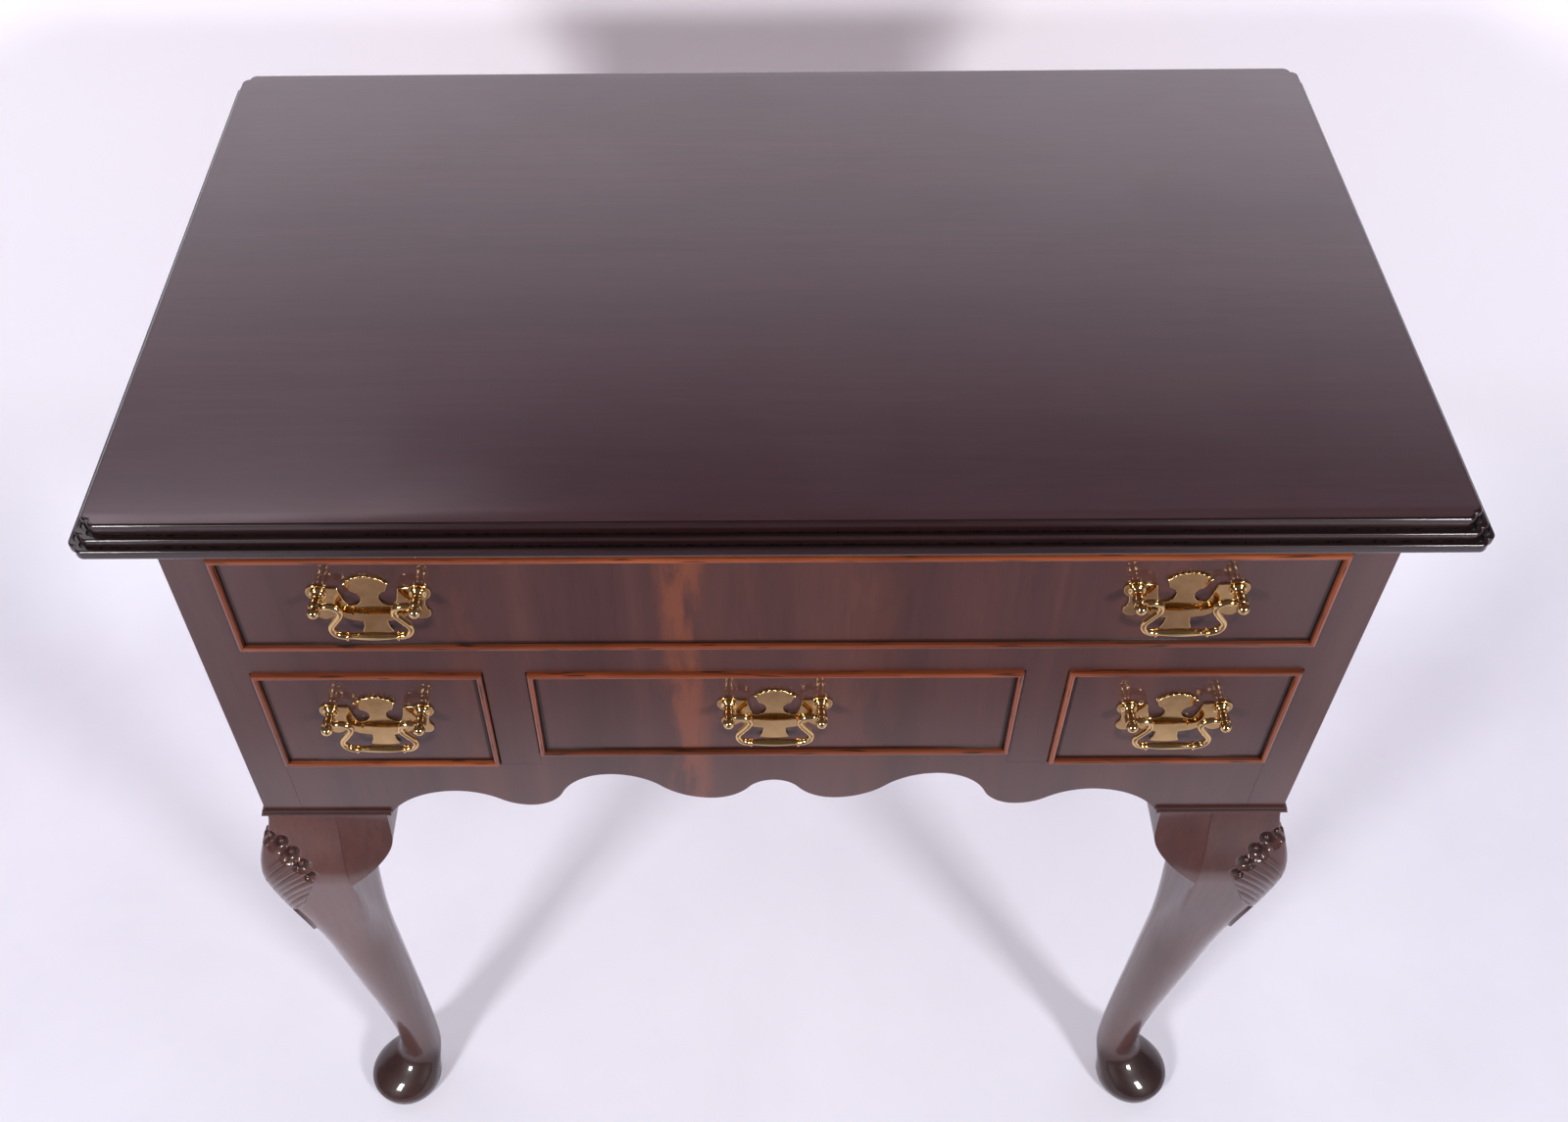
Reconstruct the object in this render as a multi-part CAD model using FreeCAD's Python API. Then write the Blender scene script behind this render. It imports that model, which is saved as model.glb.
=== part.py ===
import FreeCAD, Part
import math
import os
from FreeCAD import Vector

# A lowboy: a small dressing table with one long drawer over three short ones, on four cabriole legs.
# Millimetres, +Z up, the floor at Z = 0, the front facing -Y, the middle of the top at X = Y = 0.

# ---- driving dimensions: the whole piece ----
top_width = 710.0
top_depth = 416.0
top_thickness = 18.0
side_overhang = 29.0
front_overhang = 29.0
back_overhang = 20.0
leg_height = 450.0
apron_height = 56.2

# ---- the stepped edge of the top ----
middle_step_inset = 3.5
upper_step_inset = 7.4
lower_step_height = 6.8
middle_step_height = 11.4
corner_lobe = 4.2
lower_edge_round = 2.2
step_edge_round = 1.1

# ---- carcass boards ----
front_thickness = 18.0
panel_thickness = 16.0
back_thickness = 12.0
dust_board_thickness = 12.0
stile_width = 24.2
divider_width = 24.4
top_rail_height = 31.2
mid_rail_height = 22.4
back_clearance_above_legs = 30.0

# ---- drawer fronts and openings ----
long_drawer_height = 78.0
small_drawer_height = 93.0
centre_drawer_height = 82.0
small_drawer_width = 132.5
front_gap = 0.8
running_gap = 0.3

# ---- drawer boxes ----
drawer_side_thickness = 10.0
drawer_back_thickness = 10.0
drawer_bottom_thickness = 5.0
drawer_bottom_rise = 9.0
groove_depth = 5.0
drawer_back_space = 6.0
box_side_inset = 0.7
side_top_drop = 6.0
back_top_drop = 6.0
dovetail_depth = 11.0
dovetail_pitch = 25.0
dovetail_root = 10.0
dovetail_flare = 2.4
bead_width = 3.2
bead_set_in = 5.5
bead_stand = 3.0

# ---- inner framing ----
runner_width = 18.0
runner_height = 18.0
guide_height = 20.0
batten_width = 22.0
stop_length = 30.0
stop_width = 14.0
stop_height = 6.0
stop_gap = 0.3
stop_side_gap = 1.0
dowel_radius = 6.0
dowel_inset = 30.0
dowel_reach = 28.0
dowel_clearance = 0.05
screw_radius = 2.2
screw_head_radius = 4.4
screw_head_height = 2.0
screw_reach = 10.0
screw_end_inset = 40.0

# ---- apron outline, distances from the middle and rises above the legs ----
apron_shoulder_x = 201.0
apron_valley_x = 154.0
apron_arch_x = 102.0
apron_tongue_x = 38.5
apron_shoulder_rise = 25.5
apron_valley_rise = 8.9
apron_arch_rise = 44.0
apron_tongue_rise = 16.4
apron_centre_rise = 37.0
shoulder_share = 0.6
valley_share = 0.4
arch_share = 0.5
tongue_share = 0.6
side_arch_rise = 24.0
side_arch_shoulder = 48.0

# ---- cabriole legs ----
post_width = 44.0
knee_swell = 13.5
knee_drop = 70.0
knee_ridge_roundness = 0.35
post_roundness = 0.02
knee_fullness = 1.2
round_below = 0.6
shank_bow = 5.0
ankle_radius = 16.0
ankle_height = 58.0
ankle_inset = 31.5
pad_radius = 29.0
pad_inset = 16.8
bracket_width = 33.0
bracket_end_height = 26.0
bracket_depth = 30.0
bracket_end_swell = 0.45
bracket_fall = 0.55
bracket_slices = (0.0, 0.3, 0.6, 0.82, 0.95, 1.0)
bracket_levels = (0.0, 0.2, 0.4, 0.6, 0.8, 1.0)

# ---- foot: share of the ankle's height, then how far centre and radius go from the ankle's to the pad's ----
foot_profile = ((0.0, 1.0, 0.75), (0.08, 1.0, 0.96), (0.19, 1.0, 1.0), (0.28, 0.88, 0.88),
                (0.38, 0.64, 0.64), (0.48, 0.35, 0.35), (0.62, 0.08, 0.08))

# ---- shank and knee, at shares of the way up from the ankle and from the knee's fullest part ----
shank_levels = (0.0, 0.16, 0.33, 0.5, 0.68, 0.85)
knee_levels = (0.0, 0.25, 0.5, 0.75, 1.0)

# ---- moulding over the legs ----
moulding_height = 5.4
moulding_stand = 2.7
moulding_overrun = 4.0
moulding_profile = ((0.0, 0.0), (0.75, 0.0), (1.0, 0.16), (0.75, 0.34), (0.55, 0.4),
                    (0.55, 0.58), (0.8, 0.7), (0.55, 0.88), (0.2, 1.0), (0.0, 1.0))

# ---- brass pulls ----
pull_rise = 11.0
pull_spread = 220.0
post_spacing = 54.0
plate_thickness = 1.4
plate_fan_radius = 14.1
plate_fan_half_angle = 60.0
plate_fan_lobes = 9
plate_lobe_height = 0.7
plate_waist = 5.0
plate_notch_radius = 6.0
plate_notch_drop = 4.5
plate_notch_arc = (105.0, 290.0)
plate_wing_radius = 6.4
plate_wing_out = 0.4
plate_wing_arc = (138.0, -62.0)
plate_ear_radius = 5.0
plate_ear_in = 0.8
plate_ear_drop = 17.0
plate_ear_arc = (50.0, -128.0)
plate_hollow = 1.0
plate_scroll_share = 0.7
plate_scroll_drop = 1.2
plate_neck_share = 0.75
plate_neck_swell = 0.5
plate_neck_high = 5.6
plate_neck_low = 7.2
plate_lug_half = 8.8
plate_lug_drop = 33.5
plate_lug_shoulder = 4.5
plate_lug_sag = 0.8
shank_radius = 2.0
shank_clearance = 0.05
shank_end = 2.0
flange_radius = 4.4
flange_thickness = 2.0
neck_radius = 2.4
collar_radius = 3.3
collar_half = 2.6
pivot_stand = 9.0
ball_radius = 3.1
ball_tip_radius = 0.8
ball_stand = 13.0
nut_half_width = 4.5
nut_thickness = 3.5
bail_radius = 1.9
bail_pin_radius = 1.2
bail_pin_clearance = 0.15
bail_pin_reach = 2.4
bail_shoulder_gap = 0.4
bail_straight = 4.6
bail_shoulder_bend = 5.5
bail_lean = 35.0
bail_arm = 13.0
bail_corner_bend = 4.0
grip_radius = 2.4
grip_end_radius = 1.6
bead_ring_radius = 2.8
bead_ring_inset = 1.2
bead_ring_half = 0.9

# ---- how finely round work is faceted ----
lobe_steps = 2
leg_sides = 16
dowel_sides = 8
post_sides = 8
bail_sides = 6
bend_steps = 3

# ---- values worked out from the driving dimensions ----
half_width = top_width / 2 - side_overhang
front_y = -top_depth / 2 + front_overhang
back_y = top_depth / 2 - back_overhang
frame_y = front_y + front_thickness
panel_x = half_width - panel_thickness
rear_y = back_y - back_thickness
open_x = half_width - stile_width
small_floor = leg_height + apron_height
small_ceiling = small_floor + small_drawer_height + 2 * front_gap
centre_floor = small_ceiling - centre_drawer_height - 2 * front_gap
long_floor = small_ceiling + mid_rail_height
long_ceiling = long_floor + long_drawer_height + 2 * front_gap
under_top = long_ceiling + top_rail_height
overall_height = under_top + top_thickness
divider_outer = open_x - small_drawer_width - 2 * front_gap
divider_inner = divider_outer - divider_width
small_x = (open_x + divider_outer) / 2
bracket_end = post_width + bracket_width
arch_start = bracket_end + moulding_overrun
dust_underside = long_floor - dust_board_thickness
knee_z = leg_height - knee_drop
ankle_outer = ankle_inset - ankle_radius
ankle_inner = ankle_inset + ankle_radius
shank_slope = (ankle_outer + knee_swell) / (knee_z - ankle_height)
plate_face_y = front_y - plate_thickness
shank_length = front_thickness + plate_thickness + nut_thickness + shank_end

SIDES = (("left", -1), ("right", 1))
LEGS = (("front_left", -1, -1), ("front_right", 1, -1), ("rear_left", -1, 1), ("rear_right", 1, 1))
RIGHT = Vector(1, 0, 0)
BACK = Vector(0, 1, 0)
FORWARD = Vector(0, -1, 0)
UP = Vector(0, 0, 1)

os.makedirs("parts", exist_ok=True)


# ---- helpers ----
def save(shape, name):
    """Write one node, after checking that each of its solids is closed and valid."""
    for solid in shape.Solids:
        assert solid.isValid() and solid.isClosed() and solid.Volume > 0, name
    shape.exportStep("parts/" + name + ".step")
    print(name, len(shape.Solids), "solids", round(shape.Volume / 1000, 2), "cm3")


def box(x0, x1, y0, y1, z0, z1):
    """A box between two corners, given in either order."""
    low = Vector(min(x0, x1), min(y0, y1), min(z0, z1))
    return Part.makeBox(abs(x1 - x0), abs(y1 - y0), abs(z1 - z0), low)


def group(shapes):
    """Separate solids kept side by side in one node."""
    return Part.makeCompound([solid for shape in shapes for solid in shape.Solids])


def polygon(points):
    return Part.makePolygon(points + [points[0]])


def prism(points, direction):
    """A closed outline of straight edges, pulled along a direction."""
    return Part.Face(polygon(points)).extrude(direction)


def line(start, end):
    return Part.LineSegment(start, end).toShape()


def filled(edges, direction):
    """Edges that close on themselves, made a face and pulled along a direction."""
    return Part.Face(Part.Wire(Part.__sortEdges__(edges))).extrude(direction)


def level_arc(level, end):
    """An arc that leaves the point level along the horizontal and ends at the point end."""
    chord = end - level
    run = chord - UP * chord.z
    turn = math.atan2(chord.z, run.Length)
    half_chord = chord.Length / 2 / math.cos(turn / 2)
    middle = level + run.normalize() * (half_chord * math.cos(turn / 2))
    middle += UP * (half_chord * math.sin(turn / 2))
    return Part.Arc(level, middle, end).toShape()


def ogee(start, end, share):
    """Two arcs, each level at its own end, that meet a share of the way along the line between the ends."""
    meeting = start + (end - start) * share
    return [level_arc(start, meeting), level_arc(end, meeting)]


def loft(rings):
    """A solid through closed rings of points, with flat ends and flat facets between the rings."""
    faces = [Part.Face(polygon(rings[0])), Part.Face(polygon(rings[-1]))]
    for low, high in zip(rings, rings[1:]):
        for index, (a, d) in enumerate(zip(low, high)):
            b = low[index - 1]
            c = high[index - 1]
            faces.append(Part.Face(polygon([a, b, c])))
            faces.append(Part.Face(polygon([a, c, d])))
    solid = Part.makeSolid(Part.makeShell(faces))
    if solid.Volume < 0:
        solid.reverse()
    return solid


def ring(centre, across, up, radius, sides):
    """Corners of a round section about centre, in the plane of two unit directions."""
    corners = []
    for index in range(sides):
        angle = 2 * math.pi * (index + 0.5) / sides
        corners.append(centre + across * (radius * math.cos(angle)) + up * (radius * math.sin(angle)))
    return corners


def turned(start, direction, across, profile, sides):
    """A turned piece: its profile gives a radius at each distance from start."""
    up = direction.cross(across)
    return loft([ring(start + direction * reach, across, up, radius, sides) for radius, reach in profile])


def ease(t):
    """A smooth step from 0 to 1."""
    return t * t * (3 - 2 * t)


# ---- the top ----
def top_ring(inset, z):
    """The top in plan at one height: each corner is two round lobes that meet in a cusp."""
    x = top_width / 2 - inset
    y = top_depth / 2 - inset
    points = []
    for turn, (corner_x, corner_y) in enumerate(((x, -y), (x, y), (-x, y), (-x, -y))):
        cosine = math.cos(math.pi / 2 * turn)
        sine = math.sin(math.pi / 2 * turn)
        for lobe in (1, 2):
            for step in range(lobe - 1, lobe_steps + 1):
                angle = math.pi / 2 * (step / lobe_steps - 1)
                along = corner_lobe * (lobe - 3 + math.cos(angle))
                across = corner_lobe * (lobe + math.sin(angle))
                points.append(Vector(corner_x + along * cosine - across * sine,
                                     corner_y + along * sine + across * cosine, z))
    return points


def top_profile():
    """Inset and height of the edge from the underside to the upper arris, one step over another."""
    steps = ((0.0, under_top + lower_step_height), (middle_step_inset, under_top + middle_step_height),
             (upper_step_inset, overall_height))
    profile = [(lower_edge_round, under_top), (0.0, under_top + lower_edge_round)]
    for inset, z in steps:
        if inset > 0:
            profile.append((inset, profile[-1][1]))
        profile.append((inset, z - step_edge_round))
        profile.append((inset + step_edge_round, z))
    return profile


def make_top():
    board = loft([top_ring(inset, z) for inset, z in top_profile()])
    return board.cut(group([top_screw(x, y, dowel_clearance) for x, y in top_screw_places()]))


# ---- top screws, up through the battens ----
def top_screw_places():
    batten_x = panel_x - batten_width / 2
    ends = (frame_y + screw_end_inset, rear_y - screw_end_inset)
    return [(side * batten_x, y) for _, side in SIDES for y in ends]


def top_screw(x, y, clearance):
    """A round-headed screw with its head under the batten and its end in the top."""
    radius = screw_radius + clearance
    neck = screw_head_height
    end = neck + top_rail_height + screw_reach + clearance
    profile = [(screw_head_radius, 0), (screw_head_radius, neck), (radius, neck), (radius, end)]
    return turned(Vector(x, y, long_ceiling - neck), UP, RIGHT, profile, post_sides)


def make_top_screws():
    return group([top_screw(x, y, 0.0) for x, y in top_screw_places()])


def make_top_battens():
    """Battens along both side panels and the back, which the top is screwed down to."""
    holes = group([top_screw(x, y, dowel_clearance) for x, y in top_screw_places()])
    battens = [box(side * panel_x, side * (panel_x - batten_width), frame_y, rear_y, long_ceiling, under_top)
               for _, side in SIDES]
    inner_x = panel_x - batten_width
    rear = box(-inner_x, inner_x, rear_y - batten_width, rear_y, long_ceiling, under_top)
    return group([batten.cut(holes) for batten in battens] + [rear])


# ---- carcass ----
def make_side_panel(side):
    """A side with a long low arch in its lower edge, between the knee brackets."""
    x = side * panel_x
    y0 = front_y + arch_start
    y1 = back_y - arch_start
    peak = leg_height + side_arch_rise

    def spot(y, z):
        return Vector(x, y, z)

    edges = [
        line(spot(frame_y, leg_height), spot(y0, leg_height)),
        level_arc(spot(y0 + side_arch_shoulder, peak), spot(y0, leg_height)),
        line(spot(y0 + side_arch_shoulder, peak), spot(y1 - side_arch_shoulder, peak)),
        level_arc(spot(y1 - side_arch_shoulder, peak), spot(y1, leg_height)),
        line(spot(y1, leg_height), spot(back_y, leg_height)),
        line(spot(back_y, leg_height), spot(back_y, under_top)),
        line(spot(back_y, under_top), spot(frame_y, under_top)),
        line(spot(frame_y, under_top), spot(frame_y, leg_height)),
    ]
    return filled(edges, Vector(side * panel_thickness, 0, 0))


def make_stile(side):
    return box(side * open_x, side * half_width, front_y, frame_y, leg_height, under_top)


def make_top_rail():
    return box(-open_x, open_x, front_y, frame_y, long_ceiling, under_top)


def make_mid_rail():
    return box(-open_x, open_x, front_y, frame_y, small_ceiling, long_floor)


def make_divider(side):
    return box(side * divider_inner, side * divider_outer, front_y, frame_y, small_floor, small_ceiling)


def make_apron():
    """The scalloped board under the lower drawers, stepped on top to meet the shallower centre drawer."""
    start_x = half_width - arch_start

    def spot(x, z):
        return Vector(x, front_y, z)

    edges = [line(spot(-divider_inner, centre_floor), spot(divider_inner, centre_floor))]
    for _, side in SIDES:
        start = spot(side * start_x, leg_height)
        shoulder = spot(side * apron_shoulder_x, leg_height + apron_shoulder_rise)
        valley = spot(side * apron_valley_x, leg_height + apron_valley_rise)
        arch = spot(side * apron_arch_x, leg_height + apron_arch_rise)
        tongue = spot(side * apron_tongue_x, leg_height + apron_tongue_rise)
        centre = spot(0, leg_height + apron_centre_rise)
        edges.append(level_arc(shoulder, start))
        edges += ogee(shoulder, valley, shoulder_share)
        edges += ogee(valley, arch, valley_share)
        edges += ogee(arch, tongue, arch_share)
        edges += ogee(tongue, centre, tongue_share)
        edges.append(line(start, spot(side * open_x, leg_height)))
        edges.append(line(spot(side * open_x, leg_height), spot(side * open_x, small_floor)))
        edges.append(line(spot(side * open_x, small_floor), spot(side * divider_inner, small_floor)))
        edges.append(line(spot(side * divider_inner, small_floor), spot(side * divider_inner, centre_floor)))
    return filled(edges, Vector(0, front_thickness, 0))


def make_back_panel():
    low = leg_height + back_clearance_above_legs
    return box(-panel_x, panel_x, rear_y, back_y, low, under_top)


def make_dust_board():
    """The board between the long drawer and the lower three."""
    return box(-panel_x, panel_x, frame_y, rear_y, dust_underside, long_floor)


def make_runners():
    """Two runners under each lower drawer, level with its opening."""
    low = small_floor - runner_height
    solids = []
    for _, side in SIDES:
        solids.append(box(side * panel_x, side * (open_x - runner_width), frame_y, rear_y, low, small_floor))
        solids.append(box(side * divider_outer, side * (divider_outer + runner_width),
                          frame_y, rear_y, low, small_floor))
        solids.append(box(side * divider_inner, side * (divider_inner - runner_width),
                          frame_y, rear_y, centre_floor - runner_height, centre_floor))
    return group(solids)


def make_guides():
    """Strips that keep the drawers square in the carcass, and the two partitions between them."""
    low = small_floor - runner_height
    solids = []
    for _, side in SIDES:
        for floor in (small_floor, long_floor):
            solids.append(box(side * open_x, side * panel_x, frame_y, rear_y, floor, floor + guide_height))
        solids.append(box(side * divider_inner, side * divider_outer, frame_y, rear_y, low, dust_underside))
    return group(solids)


def make_stops():
    """Small blocks which each drawer front meets when it is shut: on the dust board and on the runners."""
    y0 = frame_y + stop_gap
    y1 = y0 + stop_width
    side_inset = front_gap + box_side_inset + drawer_side_thickness + stop_side_gap
    small_half = (open_x - divider_outer) / 2
    solids = []
    for _, side in SIDES:
        x = side * pull_spread
        solids.append(box(x - stop_length / 2, x + stop_length / 2, y0, y1,
                          long_floor, long_floor + stop_height))
        for middle, half, floor in ((small_x, small_half, small_floor), (-small_x, small_half, small_floor),
                                    (0.0, divider_inner, centre_floor)):
            solids.append(box(middle + side * (half - side_inset), middle + side * (half - runner_width),
                              y0, y1, floor, floor + stop_height))
    return group(solids)


def leg_dowel(sx, sy, clearance):
    corner_y = front_y if sy < 0 else back_y
    reach = dowel_reach + clearance
    start = Vector(sx * (half_width - dowel_inset), corner_y - sy * dowel_inset, leg_height - reach)
    radius = dowel_radius + clearance
    return turned(start, UP, RIGHT, [(radius, 0), (radius, 2 * reach)], dowel_sides)


def make_dowels():
    return group([leg_dowel(sx, sy, 0.0) for _, sx, sy in LEGS])


def make_corner_blocks():
    """A block in each corner behind the front or back, which the leg is dowelled into."""
    top = small_floor - runner_height
    solids = []
    for _, sx, sy in LEGS:
        outer_y = frame_y if sy < 0 else rear_y
        inner_y = outer_y - sy * post_width
        block = box(sx * panel_x, sx * (panel_x - post_width), outer_y, inner_y, leg_height, top)
        solids.append(block.cut(leg_dowel(sx, sy, dowel_clearance)))
    return group(solids)


# ---- legs ----
def blend(start, end, share):
    """A share of the way from one value to another."""
    return start + (end - start) * share


def knee_outward(z):
    """How far the knee stands out past the post: it goes on along the shank's slope, then dies away."""
    t = max(0.0, (z - knee_z) / knee_drop)
    return knee_swell * (1 - ease(t ** knee_fullness)) + knee_drop * shank_slope * t * (1 - t) ** 2


def leg_sections():
    """Sections from the sole up: height, outer side, inner side, roundness of ridge and of other corners."""
    sections = []
    for level, inward, spread in foot_profile:
        centre = blend(ankle_inset, pad_inset, inward)
        radius = blend(ankle_radius, pad_radius, spread)
        sections.append((ankle_height * level, centre - radius, centre + radius, 1.0, 1.0))
    for f in shank_levels:
        taper = f * (1 - (1 - f) ** shank_bow)
        square = ease(max(0.0, (f - round_below) / (1 - round_below)))
        sections.append((blend(ankle_height, knee_z, f), blend(ankle_outer, -knee_swell, taper),
                         blend(ankle_inner, post_width, taper), blend(1.0, knee_ridge_roundness, square),
                         blend(1.0, post_roundness, square)))
    for t in knee_levels:
        z = knee_z + knee_drop * t
        ridge = blend(knee_ridge_roundness, post_roundness, ease(t))
        sections.append((z, -knee_outward(z), post_width, ridge, post_roundness))
    return sections


def leg_ring(sx, sy, section):
    """The corners of one section of a leg, which roundness 0 makes square and 1 makes round."""
    z, outer, inner, ridge, corner = section
    half = (inner - outer) / 2
    centre = (inner + outer) / 2
    corner_y = -front_y if sy < 0 else back_y
    points = []
    for index in range(leg_sides):
        angle = 2 * math.pi * index / leg_sides
        facing_ridge = max(0.0, -math.cos(angle - math.pi / 4))
        roundness = corner + (ridge - corner) * facing_ridge
        square = 1 / max(abs(math.cos(angle)), abs(math.sin(angle)))
        reach = half * (square + (1 - square) * roundness)
        inset_x = centre + reach * math.cos(angle)
        inset_y = centre + reach * math.sin(angle)
        points.append(Vector(sx * (half_width - inset_x), sy * (corner_y - inset_y), z))
    return points


def make_leg(sx, sy):
    """A cabriole leg in one piece, from its pad foot to its square post, with the hole for its dowel."""
    leg = loft([leg_ring(sx, sy, section) for section in leg_sections()])
    return leg.cut(leg_dowel(sx, sy, dowel_clearance))


def corner_spot(sx, sy, facing, along, out, z):
    """A point by a leg: along its front (facing 0) or side (facing 1) from the corner, and out from there."""
    corner_y = -front_y if sy < 0 else back_y
    if facing == 0:
        return Vector(sx * (half_width - along), sy * (corner_y + out), z)
    return Vector(sx * (half_width + out), sy * (corner_y - along), z)


def bracket_ring(sx, sy, facing, share):
    """An upright slice of a knee bracket: its face follows the knee and dies back towards its end."""
    along = post_width + bracket_width * share
    drop = bracket_end_height + (knee_drop - bracket_end_height) * (1 - share) ** bracket_fall
    swell = 1 - (1 - bracket_end_swell) * share
    heights = [leg_height - drop * level for level in bracket_levels]
    face = [corner_spot(sx, sy, facing, along, knee_outward(z) * swell, z) for z in heights]
    back = [corner_spot(sx, sy, facing, along, -bracket_depth, z) for z in (heights[-1], leg_height)]
    return face + back


def make_bracket(sx, sy, facing):
    """A knee bracket beside a leg's post, along the front or the side."""
    return loft([bracket_ring(sx, sy, facing, share) for share in bracket_slices])


def moulding_strip(sx, sy, facing):
    """One strip of the moulding over a leg, mitred where it turns the corner."""
    mitre = 1.0 if sy < 0 else 0.0
    section = [(moulding_stand * out, leg_height + moulding_height * rise) for out, rise in moulding_profile]
    return loft([[corner_spot(sx, sy, facing, -out * mitre, out, z) for out, z in section],
                 [corner_spot(sx, sy, facing, arch_start, out, z) for out, z in section]])


def make_mouldings():
    solids = []
    for _, sx, sy in LEGS:
        facings = (0, 1) if sy < 0 else (1,)
        solids += [moulding_strip(sx, sy, facing) for facing in facings]
    return group(solids)


# ---- drawers ----
def bead_strip(half_along, half_across, along, across):
    """One strip of cockbead with mitred ends and a round nose, on a drawer front centred at X = Z = 0."""
    nose_round = bead_width / 2
    rear = front_y + bead_set_in
    nose = front_y - bead_stand
    turn = nose_round * (1 - 1 / math.sqrt(2))
    section = ((0, rear), (0, nose + nose_round), (turn, nose + turn), (nose_round, nose),
               (bead_width - turn, nose + turn), (bead_width, nose + nose_round), (bead_width, rear))
    return loft([[along * (sign * (half_along - depth)) + across * (half_across - depth) + BACK * y
                  for depth, y in section] for sign in (-1, 1)])


def make_cockbead(width, height):
    strips = [bead_strip(width / 2, height / 2, RIGHT, UP * side) for _, side in SIDES]
    strips += [bead_strip(height / 2, width / 2, UP, RIGHT * side) for _, side in SIDES]
    return group(strips)


def dovetails(x0, side_height, low):
    """The tails on the front end of one drawer side."""
    count = max(2, int(side_height / dovetail_pitch))
    pitch = side_height / count
    root = dovetail_root / 2
    tip = root + dovetail_flare
    tails = []
    for index in range(count):
        z = low + pitch * (index + 0.5)
        outline = [Vector(x0, frame_y, z - root), Vector(x0, frame_y - dovetail_depth, z - tip),
                   Vector(x0, frame_y - dovetail_depth, z + tip), Vector(x0, frame_y, z + root)]
        tails.append(prism(outline, Vector(drawer_side_thickness, 0, 0)))
    return tails


def make_drawer(name, x, width, height, floor, pulls):
    """One drawer: front, cockbead, sides, back, bottom, and its pulls at the given places across it."""
    low = floor + running_gap
    front_low = floor + front_gap
    middle_z = front_low + height / 2
    half = width / 2
    box_half = half - box_side_inset
    inner = box_half - drawer_side_thickness
    end_y = rear_y - drawer_back_space
    side_high = front_low + height - side_top_drop
    bottom_z = low + drawer_bottom_rise
    post_z = middle_z + pull_rise
    posts_x = [x + pull + side * post_spacing / 2 for pull in pulls for _, side in SIDES]

    bottom = box(x - inner - groove_depth, x + inner + groove_depth, frame_y, end_y,
                 bottom_z, bottom_z + drawer_bottom_thickness)
    bottom = bottom.fuse(box(x - inner, x + inner, frame_y - groove_depth, frame_y,
                             bottom_z, bottom_z + drawer_bottom_thickness)).removeSplitter()
    tails = []
    sides = []
    for x0 in (x - box_half, x + inner):
        side_tails = dovetails(x0, side_high - low, low)
        board = box(x0, x0 + drawer_side_thickness, frame_y, end_y, low, side_high)
        sides.append(board.fuse(side_tails).cut(bottom).removeSplitter())
        tails += side_tails

    front = box(x - half, x + half, front_y, frame_y, front_low, front_low + height)
    rim = box(x - half, x + half, front_y, front_y + bead_set_in, front_low, front_low + height)
    field = box(x - half + bead_width, x + half - bead_width, front_y, front_y + bead_set_in,
                front_low + bead_width, front_low + height - bead_width)
    holes = [pull_shank(post_x, post_z, shank_clearance) for post_x in posts_x]
    front = front.cut(group([rim.cut(field), bottom] + tails + holes))

    back = box(x - inner, x + inner, end_y - drawer_back_thickness, end_y,
               bottom_z + drawer_bottom_thickness, side_high - back_top_drop)
    bead = make_cockbead(width, height)
    bead.translate(Vector(x, 0, middle_z))

    save(front, name + "_front")
    save(group(sides), name + "_sides")
    save(back, name + "_back")
    save(bottom, name + "_bottom")
    save(bead, name + "_cockbead")
    save(group([make_plate(x + pull, post_z) for pull in pulls]), name + "_pull_plates")
    posts = [make_post(x + pull, side, post_z) for pull in pulls for _, side in SIDES]
    save(group(posts + [make_nut(post_x, post_z) for post_x in posts_x]), name + "_pull_posts")
    return post_z


# ---- pulls ----
def pull_shank(x, z, clearance):
    """The part of a pull's post behind its plate, long enough here to cut a hole right through."""
    radius = shank_radius + clearance
    profile = [(radius, -shank_length - clearance), (radius, clearance)]
    return turned(Vector(x, plate_face_y, z), FORWARD, RIGHT, profile, post_sides)


def swing(x, z, radius, arc, steps):
    """Points along an arc in the face of a pull plate, between two angles in degrees."""
    points = []
    for index in range(steps + 1):
        angle = math.radians(blend(arc[0], arc[1], index / steps))
        points.append((x + radius * math.cos(angle), z + radius * math.sin(angle)))
    return points


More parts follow.
